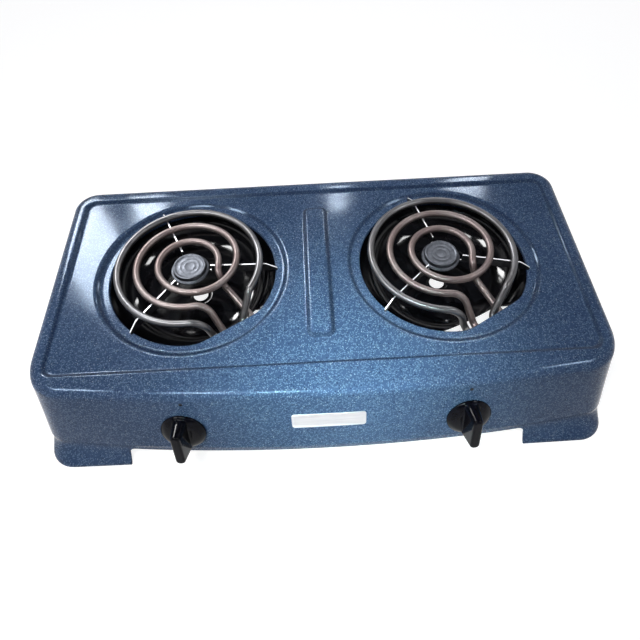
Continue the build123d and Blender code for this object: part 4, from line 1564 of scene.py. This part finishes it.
@dataclass(frozen=True)
class HubCap:
    """Pressed cap in the middle of a coil, with a rolled rim and plain rings."""

    axis_r: float = 0.4
    wall_r: float = 16.8
    foot_r: float = 19.6
    face_z: float = -3.4
    rim_z: float = -2.6
    step_z: float = -7.4
    low_z: float = -9.0
    sheet: float = 0.8
    rings: tuple[float, ...] = (5.2, 9.6)
    ring_half: float = 0.6
    ring_rise: float = 0.10
    ring_shares: tuple[float, ...] = (-1.0, -0.5, 0.0, 0.5, 1.0)
    face_edge: tuple[Range, ...] = ((3.2, 0.0), (2.6, 0.15))
    rim_roll: tuple[Range, ...] = ((2.2, 0.2), (1.7, 0.0), (0.9, 0.0), (0.3, 0.25), (0.0, 0.9))
    step_bend: tuple[Range, ...] = ((0.0, 0.8), (0.2, 0.3), (0.7, 0.0))
    foot_roll: tuple[Range, ...] = ((0.7, 0.0), (0.2, 0.2), (0.0, 0.7))
    columns: int = 96

    def section(self) -> Section:
        """Half section of the cap.

        Returns:
            Radii and heights from the middle of the face, over the foot, to the middle below.
        """
        wall, foot, face, rim, step = self.wall_r, self.foot_r, self.face_z, self.rim_z, self.step_z
        section = [(self.axis_r, face)]
        for radius in self.rings:
            for t in self.ring_shares:
                rise = self.ring_rise * math.cos(math.pi / 2 * t)
                section.append((radius + t * self.ring_half, face + rise))
        section += [(wall - back, face + up) for back, up in self.face_edge]
        section += [(wall - back, rim - down) for back, down in self.rim_roll]
        section += [(wall + out, step + up) for out, up in self.step_bend]
        section += [(foot - back, step - down) for back, down in self.foot_roll]
        inner_wall, inner_foot = wall - self.sheet, foot - self.sheet
        section += [(foot, self.low_z), (inner_foot, self.low_z), (inner_foot, step - self.sheet)]
        section += [(inner_wall, step - self.sheet), (inner_wall, face - self.sheet)]
        return section + [(self.axis_r, face - self.sheet)]

    def build(self, name: str, place: Matrix) -> Piece:
        """Draw the cap.

        Args:
            name: Name of the piece.
            place: Transform from the coil's own plan to its opening.

        Returns:
            The cap.
        """
        draft = MeshDraft()
        rows = draft.revolve(self.section(), self.columns)
        draft.cap(rows[0])
        draft.cap(rows[-1])
        return draft.to_object(name, place, ROUND_CRISP_ANGLE)


@dataclass
class HeatingCoil:
    """Two bent tubes, a one-turn ring round a two-turn spiral with four legs in a row, and their cap."""

    side: Side
    cap: HubCap = HubCap()
    turn: dict[Side, float] = field(default_factory=lambda: {Side.LEFT: -5.0, Side.RIGHT: -16.0})
    centre: Place = (-2.0, 3.0, 92.0)
    tube_r: float = 3.5
    outer_r: float = 72.0
    outer_start: float = -84.0
    middle_r: float = 52.0
    inner_r: float = 31.5
    turn_change: Range = (215.0, 430.0)
    taper: float = 2.2
    inner_start: float = -78.0
    inner_sweep: float = 636.0
    leg_angle: float = -50.0
    leg_drop: float = 24.0
    leg_end: float = 104.0
    terminal_end: float = 118.0
    leg_bend: float = 9.0
    turn_bend: float = 17.0
    outer_run: float = 18.0
    inner_run: float = 15.0
    leave_run: float = 8.0
    dip_run: float = 12.0
    underpass: Place = (38.0, 18.0, -14.0)
    offsets: tuple[float, float, float, float] = (-20.0, -10.0, 10.0, 21.5)
    corners: tuple[float, float, float, float] = (75.0, 77.0, 78.0, 78.0)
    probe: float = 0.1
    ring_points: int = 140
    spiral_points: int = 220
    tube_sides: int = 22

    def place(self) -> Matrix:
        """Transform from the coil's own plan to its opening.

        Returns:
            The transform in millimetres.
        """
        x, y, z = self.centre
        at = Matrix.Translation((self.side.sign * BURNER_X + x, y, z))
        return at @ Matrix.Rotation(math.radians(self.turn[self.side]), 4, "Z")

    def leg(self, out: float, across: float, z: float) -> Vector:
        """Point along and across the direction in which the legs leave."""
        return polar(out, self.leg_angle, z) + polar(across, self.leg_angle + 90.0)

    def leg_run(self, number: int) -> list[Vector]:
        """Level part of a leg, from where it turns level to its end."""
        ends = (self.corners[number], self.leg_end)
        return [self.leg(out, self.offsets[number], -self.leg_drop) for out in ends]

    def spiral_radius(self, turned: float) -> float:
        """Radius of the two-turn tube.

        Args:
            turned: Turn clockwise from its start, in degrees.

        Returns:
            The radius of its centre line.
        """
        low, high = self.turn_change
        share = held((turned - low) / (high - low))
        drop = (self.middle_r - self.inner_r) * (1.0 - math.cos(math.pi * share)) / 2.0
        return self.middle_r - drop - self.taper * (turned / self.inner_sweep - 0.5)

    def spiral(self, turned: float) -> Vector:
        """Point of the two-turn tube."""
        return polar(self.spiral_radius(turned), self.inner_start - turned)

    def heading(self, turned: float) -> Vector:
        """Direction of the two-turn tube."""
        return (self.spiral(turned + self.probe) - self.spiral(turned - self.probe)).normalized()

    def outer_line(self) -> list[Vector]:
        """Centre line of the one-turn tube.

        Returns:
            Its points, from leg to leg.
        """
        start = polar(self.outer_r, self.outer_start)
        corner = start + polar(self.outer_run, self.outer_start + 90.0)
        leg_in = rounded_line([*reversed(self.leg_run(0)), corner, start], (self.leg_bend, self.turn_bend))
        out, across = self.corners[2], self.offsets[2]
        lean = math.atan2(across, out) + math.acos(self.outer_r / math.hypot(out, across))
        leave = self.leg_angle + math.degrees(lean)
        end = polar(self.outer_r, leave)
        corner = end + polar(self.leave_run, leave - 90.0)
        leg_out = rounded_line([end, corner, *self.leg_run(2)], (self.leg_bend, self.leg_bend))
        turned = 360.0 - (leave - self.outer_start)
        ring = [polar(self.outer_r, self.outer_start - turned * t) for t in steps(self.ring_points)]
        return leg_in[:-1] + ring + leg_out[1:]

    def inner_line(self) -> list[Vector]:
        """Centre line of the two-turn tube, whose inner end dips under the turns.

        Returns:
            Its points, from leg to leg.
        """
        start = self.spiral(0.0)
        corner = start - self.heading(0.0) * self.inner_run
        leg_in = rounded_line([*reversed(self.leg_run(1)), corner, start], (self.leg_bend, self.turn_bend))
        end = self.spiral(self.inner_sweep)
        corner = end + self.heading(self.inner_sweep) * self.dip_run
        way_out = [end, corner, self.leg(*self.underpass), *self.leg_run(3)]
        leg_out = rounded_line(way_out, [self.leg_bend] * 3)
        turns = [self.spiral(self.inner_sweep * t) for t in steps(self.spiral_points)]
        return leg_in[:-1] + turns + leg_out[1:]

    def build_tube(self, sweep: SweepTree, name: str, line: Sequence[Vector], finish: Material) -> None:
        """Draw one tube and hang it on the coil's body.

        Args:
            sweep: Tree that draws round bars.
            name: Which of the tubes it is.
            line: Its centre line in the coil's own plan.
            finish: Its material.
        """
        side = self.side.value
        place = self.place()
        points = [to_frame(place @ p) for p in line]
        tube = sweep.draw(f"{side}_{name}_tube", [points], self.tube_r, self.tube_sides, finish)
        finish_piece(tube, f"{side}_coil", "coil_sheath", f"{side}_{name}_coil_tube")

    def dress(self, sweep: SweepTree, finishes: Finishes) -> None:
        """Build both tubes and the cap in their metals.

        Args:
            sweep: Tree that draws round bars.
            finishes: Materials of the pieces.
        """
        side = self.side.value
        self.build_tube(sweep, "outer", self.outer_line(), finishes.made["grey_sheath"])
        self.build_tube(sweep, "inner", self.inner_line(), finishes.made["coil_sheath"])
        cap = finishes.dress(self.cap.build(f"{side}_hub_cap", self.place()), "hub_chrome")
        finish_piece(cap, f"{side}_coil", "hub_chrome", f"{side}_medallion")


# Control knobs

@dataclass
class ControlKnob:
    """Skirted knob with a bar grip, on the slope of the front."""

    side: Side
    body: EnamelBody
    x: float = 132.0
    z: float = 44.0
    gap: float = 0.8
    skirt_r: float = 21.0
    skirt_height: float = 6.5
    skirt_edge: float = 1.9
    dome_foot: float = 2.0
    dome_middle: Range = (4.0, -0.6)
    dome_end: Range = (10.0, 0.8)
    wall: float = 1.8
    roof: float = 1.6
    haunch: Range = (3.5, 1.4)
    height: float = 25.0
    foot: Range = (14.0, 41.0)
    crown: Range = (9.0, 36.0)
    crown_round: float = 2.0
    corner_share: float = 0.9
    sunk: float = 1.0
    axis_r: float = 0.3
    hub_r: float = 5.5
    bore_r: float = 3.02
    seat: float = 16.0
    seat_roof: float = 1.0
    voxel: float = 0.5
    softness: float = 0.5
    soft_rounds: int = 6
    columns: int = 96
    dome_rows: int = 14
    grip_rows: int = 12
    crown_rows: int = 6
    per_side: int = 8
    per_corner: int = 10

    def place(self) -> Matrix:
        """Transform from the knob's own axes to the front.

        Returns:
            The transform in millimetres.
        """
        x = self.side.sign * self.x
        at = self.body.front_point(x, self.z)
        normal = (self.body.front_point(x, self.z, 1.0) - at).normalized()
        across = self.body.front_point(x + 1.0, self.z) - self.body.front_point(x - 1.0, self.z)
        across.normalize()
        turn = Matrix((across, normal.cross(across), normal)).transposed().to_4x4()
        return Matrix.Translation(at) @ turn

    def skirt(self) -> Piece:
        """Draw the round skirt, hollow below, with the hub's bore.

        Returns:
            The skirt.
        """
        low, high, rim = self.gap, self.skirt_height, self.skirt_r
        (middle_in, middle_up), (end_in, end_up) = self.dome_middle, self.dome_end
        dome = arc_through(Vector((rim, low + self.dome_foot)), Vector((rim - middle_in, high + middle_up)),
                           Vector((rim - end_in, high + end_up)), self.dome_rows)
        inner = rim - self.wall
        haunch_in, haunch_up = self.haunch
        roof_z, seat_z = high - self.roof, self.seat + self.seat_roof
        section = [(self.bore_r, self.seat), (self.axis_r, self.seat), (self.axis_r, seat_z),
                   (self.hub_r, seat_z), (self.hub_r, high + self.sunk)]
        section += [tuple(p) for p in reversed(dome)]
        section += [(rim, low + self.skirt_edge), (rim, low), (inner, low), (inner, low + haunch_up),
                    (inner - haunch_in, roof_z), (self.bore_r, roof_z)]
        draft = MeshDraft()
        draft.revolve(section, self.columns, closed=True)
        return draft.to_object("skirt_draft", self.place())

    def grip_row(self, share: float, inset: float, z: float) -> list[Vector]:
        """Row of the bar.

        Args:
            share: Share of the way from its foot to its crown.
            inset: How far the row is moved in.
            z: Height of the row.

        Returns:
            The points of the row.
        """
        width = between(share, self.foot[0], self.crown[0]) / 2.0
        length = between(share, self.foot[1], self.crown[1]) / 2.0
        block = RoundedBlock(width, -length, length, width * self.corner_share)
        return block.loop(inset, z, self.per_side, self.per_corner)

    def grip(self) -> Piece:
        """Draw the tapered bar with rounded ends and a crowned top.

        Returns:
            The grip.
        """
        draft = MeshDraft()
        rows = []
        low, high = self.skirt_height - self.sunk, self.height - self.crown_round
        for t in steps(self.grip_rows):
            rows.append(draft.loop(self.grip_row(t, 0.0, between(t, low, high))))
        for t in steps(self.crown_rows)[1:]:
            turn = math.pi / 2 * t
            inset = self.crown_round * (1.0 - math.cos(turn))
            rows.append(draft.loop(self.grip_row(1.0, inset, high + self.crown_round * math.sin(turn))))
        draft.closed_skin(rows)
        return draft.to_object("grip_draft", self.place())

    def build(self) -> Piece:
        """Join skirt and grip into one moulding with soft inner corners.

        Returns:
            The knob.
        """
        merged = bmesh.new()
        for part in (self.skirt(), self.grip()):
            merged.from_mesh(part.data)
            bpy.data.objects.remove(part)
        name = f"{self.side.value}_bar_knob"
        mesh = bpy.data.meshes.new(name)
        merged.to_mesh(mesh)
        merged.free()
        obj = link(name, mesh)
        remesh = obj.modifiers.new("moulding", "REMESH")
        remesh.mode = "VOXEL"
        remesh.voxel_size = self.voxel * MM
        soft = obj.modifiers.new("soft_corners", "SMOOTH")
        soft.factor = self.softness
        soft.iterations = self.soft_rounds
        apply_modifiers(obj)
        obj.data.shade_smooth()
        return obj

    def dress(self, finishes: Finishes) -> None:
        """Build the knob in its gloss black."""
        knob = finishes.dress(self.build(), "black_knob")
        finish_piece(knob, f"{self.side.value}_control", "black_knob", f"{self.side.value}_knob")


# Trim on the front

@dataclass
class FrontTrim:
    """Blank plate in the middle of the front and the fired index marks above the knobs."""

    body: EnamelBody
    plate_at: Range = (2.7, 53.5)
    plate_half: Range = (34.0, 8.5)
    plate_corner: float = 3.0
    plate_height: float = 0.9
    plate_sunk: float = 0.2
    border: tuple[Range, ...] = ((0.0, 0.3), (0.1, 0.1), (0.3, 0.0), (1.2, 0.0), (1.4, 0.1), (1.6, 0.3))
    field_insets: tuple[float, ...] = (2.2, 4.0, 7.0)
    field_depth: float = 0.3
    mark_x: dict[Side, float] = field(default_factory=lambda: {Side.LEFT: -128.5, Side.RIGHT: 130.8})
    mark_z: float = 76.0
    mark_r: float = 1.7
    mark_height: float = 0.15
    mark_sunk: float = 0.1
    mark_edge: float = 0.6
    mark_insets: Range = (0.2, 1.0)
    per_side: int = 10
    per_corner: int = 8

    def lifted(self, name: str, at: Range, shape: RoundedBlock, rows: Section) -> Piece:
        """Draw a thin closed piece on the front.

        Args:
            name: Name of the piece.
            at: Its place across the front and its height.
            shape: Its outline.
            rows: Inset and height over the front of each row.

        Returns:
            The piece.
        """
        x, z = at
        slope = (self.body.front_point(x, z + 1.0) - self.body.front_point(x, z)).normalized().z
        draft = MeshDraft()
        loops = []
        for inset, out in rows:
            flat = shape.loop(inset, 0.0, self.per_side, self.per_corner)
            loops.append(draft.loop(self.body.front_point(x + p.x, z + p.y * slope, out) for p in flat))
        draft.closed_skin(loops)
        return draft.to_object(name)

    def build_plate(self) -> Piece:
        """Draw the blank plate with a raised border.

        Returns:
            The plate.
        """
        half_x, half_y = self.plate_half
        shape = RoundedBlock(half_x, -half_y, half_y, self.plate_corner)
        rows = [(0.0, -self.plate_sunk)]
        rows += [(inset, self.plate_height - down) for inset, down in self.border]
        rows += [(inset, self.plate_height - self.field_depth) for inset in self.field_insets]
        return self.lifted("blank_plate", self.plate_at, shape, rows)

    def build_mark(self, side: Side) -> Piece:
        """Draw the round mark above one knob.

        Args:
            side: Which of the knobs it is.

        Returns:
            The mark.
        """
        shape = RoundedBlock(self.mark_r, -self.mark_r, self.mark_r, self.mark_r)
        rows = [(0.0, -self.mark_sunk), (0.0, self.mark_height * self.mark_edge)]
        rows += [(inset, self.mark_height) for inset in self.mark_insets]
        return self.lifted(f"{side.value}_index_mark", (self.mark_x[side], self.mark_z), shape, rows)

    def dress(self, finishes: Finishes) -> None:
        """Build the plate and the marks in their finishes.

        Args:
            finishes: Materials of the pieces.
        """
        finish_piece(finishes.dress(self.build_plate(), "plate"), "base", "hub_chrome")
        for side in Side:
            finish_piece(finishes.dress(self.build_mark(side), "mark"), "base", "black_enamel")


# Wiring under the panel

@dataclass
class Wiring:
    """Sleeved leads from the coils and the mains block to the switches."""

    coil: HeatingCoil
    knob: ControlKnob
    wire_r: float = 1.2
    wire_sides: int = 12
    tab_depth: float = 32.8
    tab_run: float = 9.0
    coil_tabs: tuple[float, float, float, float] = (-12.0, -4.0, 4.0, 12.0)
    coil_tab_y: float = 5.0
    terminal_run: float = 7.0
    supply_tab_x: float = 7.0
    supply_tab_y: float = -11.0
    supply_z: float = 20.0
    supply_gap: float = 6.0
    block_x: float = 6.0
    block_front_y: float = 106.8
    block_z: Range = (44.0, 48.0)
    block_run: float = 9.0
    lane_x: Range = (9.0, 14.0)
    lane_y: Range = (62.0, -66.0)
    lane_lean: float = 2.0
    turn_x: float = 60.0
    turn_y: float = -98.0
    curve_order: int = 3
    curve_points: int = 12

    def tab(self, x: float, y: float, further: float = 0.0) -> Vector:
        """End of a switch terminal, or a point straight behind it."""
        return self.knob.place() @ Vector((x, y, -self.tab_depth - further))

    def coil_routes(self) -> list[list[Vector]]:
        """Control points of the four leads of a coil.

        Returns:
            The points of each lead, from terminal to switch.
        """
        place = self.coil.place()
        end = self.coil.terminal_end
        routes = []
        for offset, x in zip(self.coil.offsets, self.coil_tabs):
            ends = [place @ self.coil.leg(out, offset, -self.coil.leg_drop)
                    for out in (end, end + self.terminal_run)]
            routes.append([*ends, self.tab(x, self.coil_tab_y, self.tab_run), self.tab(x, self.coil_tab_y)])
        return routes

    def supply_routes(self) -> list[list[Vector]]:
        """Control points of the two supply leads.

        Returns:
            The points of each lead, from the mains block to the switch.
        """
        sign = self.coil.side.sign
        back_y, front_y = self.lane_y
        routes = []
        for number, (lane_x, block_z) in enumerate(zip(self.lane_x, self.block_z)):
            tab_x = self.supply_tab_x if (number == 1) == (sign > 0) else -self.supply_tab_x
            gap = self.supply_gap * number
            lane = sign * lane_x
            start = Vector((sign * self.block_x, self.block_front_y, block_z))
            routes.append([start, start + Vector((0.0, -self.block_run, 0.0)),
                           Vector((lane, back_y, self.supply_z)),
                           Vector((lane + sign * self.lane_lean, front_y + gap, self.supply_z)),
                           Vector((sign * self.turn_x, self.turn_y + gap, self.supply_z)),
                           self.tab(tab_x, self.supply_tab_y, self.tab_run + gap),
                           self.tab(tab_x, self.supply_tab_y)])
        return routes

    def smooth(self, route: Sequence[Vector]) -> list[Vector]:
        """Draw a smooth line by its control points.

        Args:
            route: The control points in millimetres.

        Returns:
            Points along the line, in metres.
        """
        curve = bpy.data.curves.new("lead_route", "CURVE")
        curve.dimensions = "3D"
        spline = curve.splines.new("NURBS")
        spline.points.add(len(route) - 1)
        for point, here in zip(spline.points, route):
            point.co = (*to_frame(here), 1.0)
        spline.order_u = self.curve_order
        spline.use_endpoint_u = True
        spline.resolution_u = self.curve_points
        holder = bpy.data.objects.new("lead_route", curve)
        line = bpy.data.meshes.new_from_object(holder)
        points = [v.co.copy() for v in line.vertices]
        bpy.data.objects.remove(holder)
        bpy.data.meshes.remove(line)
        return points

    def draw(self, name: str, routes: Sequence[Sequence[Vector]], sweep: SweepTree,
             finish: Material) -> Piece:
        """Draw one group of leads."""
        lines = [self.smooth(route) for route in routes]
        return sweep.draw(name, lines, self.wire_r, self.wire_sides, finish)

    def dress(self, sweep: SweepTree, finishes: Finishes) -> None:
        """Build both groups of leads in their sleeves; the supply leads hang on the base, the coil leads
        stay loose in place.

        Args:
            sweep: Tree that draws round bars.
            finishes: Materials of the pieces.
        """
        side = self.coil.side.value
        finish = finishes.made["lead_sleeve"]
        supply = self.draw(f"{side}_supply_wires", self.supply_routes(), sweep, finish)
        finish_piece(supply, "base", "lead_sleeve", f"{side}_supply_leads")
        routes = self.coil_routes()
        leads = self.draw(f"{side}_coil_wires", routes, sweep, finish)
        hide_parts(f"{side}_coil_leads")
        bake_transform(leads)
        log.info("%s between coil and base", leads.name)


# Studio

@dataclass(frozen=True)
class SoftBox:
    """One rectangular studio lamp in metres, which may show in reflections alone."""

    name: str
    at: Place
    towards: Place
    size: Range
    watts: float
    spread: float = 180.0
    colour: Colour = WHITE
    mirrored_only: bool = False

    def build(self) -> None:
        """Hang the lamp."""
        lamp = bpy.data.lights.new(self.name, "AREA")
        lamp.shape = "RECTANGLE"
        lamp.size, lamp.size_y = self.size
        lamp.energy = self.watts
        lamp.spread = math.radians(self.spread)
        lamp.color = self.colour
        obj = link(self.name, lamp)
        obj.location = self.at
        obj.rotation_euler = (Vector(self.towards) - Vector(self.at)).to_track_quat("-Z", "Y").to_euler()
        obj.visible_diffuse = not self.mirrored_only


@dataclass
class Studio:
    """Camera at the photograph's angle, pale floor and soft lamps, in metres."""

    camera_at: Place = (-0.002065, -0.307167, 0.496836)
    camera_turn: Place = (32.928018, 1.513158, -2.633793)
    focal_share: float = 514.78 / 640.0
    sensor_width: float = 36.0
    clip_start: float = 0.01
    floor_size: float = 6.0
    floor_colour: Colour = (0.36, 0.36, 0.365)
    floor_shade: float = 0.97
    floor_patches_per_metre: float = 3.0
    floor_rough: float = 0.85
    floor_glow: float = 0.88
    world_colour: Colour = (0.78, 0.82, 1.0)
    world_strength: float = 0.14
    backdrop_rise: Range = (0.42, 0.62)
    lamps: tuple[SoftBox, ...] = (
        SoftBox("key", (-0.10, -0.42, 0.80), (0.02, -0.10, 0.083), (0.14, 0.08), 0.165, 22.0, TEAL),
        SoftBox("fill", (-0.45, -0.42, 1.38), (-0.04, 0.0, 0.08), (0.30, 0.30), 1.25, 60.0),
    )
    mirrored_lamps: tuple[SoftBox, ...] = (
        SoftBox("window", (-0.76, 0.88, 1.0), (-0.22, 0.10, 0.083), (0.20, 0.36), 12.0),
        SoftBox("back_left", (-0.530, 0.930, 0.950), (-0.15, -0.07, 0.083), (0.10, 0.22), 4.2),
        SoftBox("back_middle", (0.093, 1.095, 1.0), (0.02, 0.11, 0.083), (0.06, 0.10), 1.0),
        SoftBox("back_right", (0.535, 1.05, 0.862), (0.10, -0.065, 0.083), (0.12, 0.26), 3.4),
        SoftBox("side_left", (-0.80, -0.10, 1.1), (-0.22, -0.115, 0.083), (0.28, 0.22), 8.5),
        SoftBox("side_right", (0.80, -0.10, 1.1), (0.22, -0.115, 0.083), (0.28, 0.18), 5.0),
    )

    def build(self) -> None:
        """Set up the whole studio."""
        scene = bpy.context.scene
        scene.view_settings.view_transform = "Standard"
        self.build_camera(scene)
        self.build_floor()
        self.build_world(scene)
        for lamp in self.lamps:
            lamp.build()
        for lamp in self.mirrored_lamps:
            replace(lamp, mirrored_only=True).build()

    def build_camera(self, scene: bpy.types.Scene) -> None:
        """Place the camera.

        Args:
            scene: Scene that is seen through it.
        """
        camera = bpy.data.cameras.new("photo_camera")
        camera.sensor_width = self.sensor_width
        camera.sensor_fit = "HORIZONTAL"
        camera.lens = self.sensor_width * self.focal_share
        camera.clip_start = self.clip_start
        obj = link("photo_camera", camera)
        obj.location = self.camera_at
        obj.rotation_euler = Euler([math.radians(a) for a in self.camera_turn], "XYZ")
        scene.camera = obj

    def build_floor(self) -> None:
        """Lay the pale floor, which is white where it is the background."""
        half = self.floor_size / 2.0
        corners = [(-half, -half, 0.0), (half, -half, 0.0), (half, half, 0.0), (-half, half, 0.0)]
        mesh = bpy.data.meshes.new("floor")
        mesh.from_pydata(corners, [], [(0, 1, 2, 3)])
        g = FinishSketch("pale_floor")
        shade_colour = tuple(c * self.floor_shade for c in self.floor_colour)
        patches = g.spread(g.noise(self.floor_patches_per_metre))
        g.put(g.mix(patches, shade_colour, self.floor_colour), "Base Color")
        g.put(g.math("MULTIPLY", g.background_ray(), self.floor_glow), "Emission Strength")
        g.set(roughness=self.floor_rough, emission_color=(*WHITE, 1.0))
        mesh.materials.append(g.material)
        link("floor", mesh)

    def build_world(self, scene: bpy.types.Scene) -> None:
        """Light the object evenly from all round, with a pale backdrop near the horizon.

        Args:
            scene: Scene that gets the world.
        """
        world = bpy.data.worlds.new("studio")
        world.use_nodes = True
        g = NodeSketch(world.node_tree)
        sky = g.nodes["Background"].inputs
        rise = g.upward(g.nodes.new("ShaderNodeTexCoord").outputs["Generated"])
        seen = g.math("MULTIPLY", g.ramp(rise, *self.backdrop_rise, 1.0, 0.0), g.background_ray())
        g.links.new(g.mix(seen, self.world_colour, WHITE), sky["Color"])
        g.links.new(g.ramp(seen, 0.0, 1.0, self.world_strength, 1.0), sky["Strength"])
        scene.world = world


def main() -> None:
    """Build every piece in order and report it."""
    logging.basicConfig(level=logging.INFO, format="%(message)s")
    finishes = Finishes()
    finishes.dress_cad_nodes(frame["record"], frame["nodes"])
    sweep = SweepTree()
    body = EnamelBody()
    body.dress(finishes)
    for side in Side:
        coil = HeatingCoil(side)
        knob = ControlKnob(side, body)
        ReflectorBowl(side, coil.leg_angle + coil.turn[side]).dress(finishes)
        coil.dress(sweep, finishes)
        knob.dress(finishes)
        Wiring(coil, knob).dress(sweep, finishes)
    FrontTrim(body).dress(finishes)
    Studio().build()


if __name__ == "__main__":
    main()
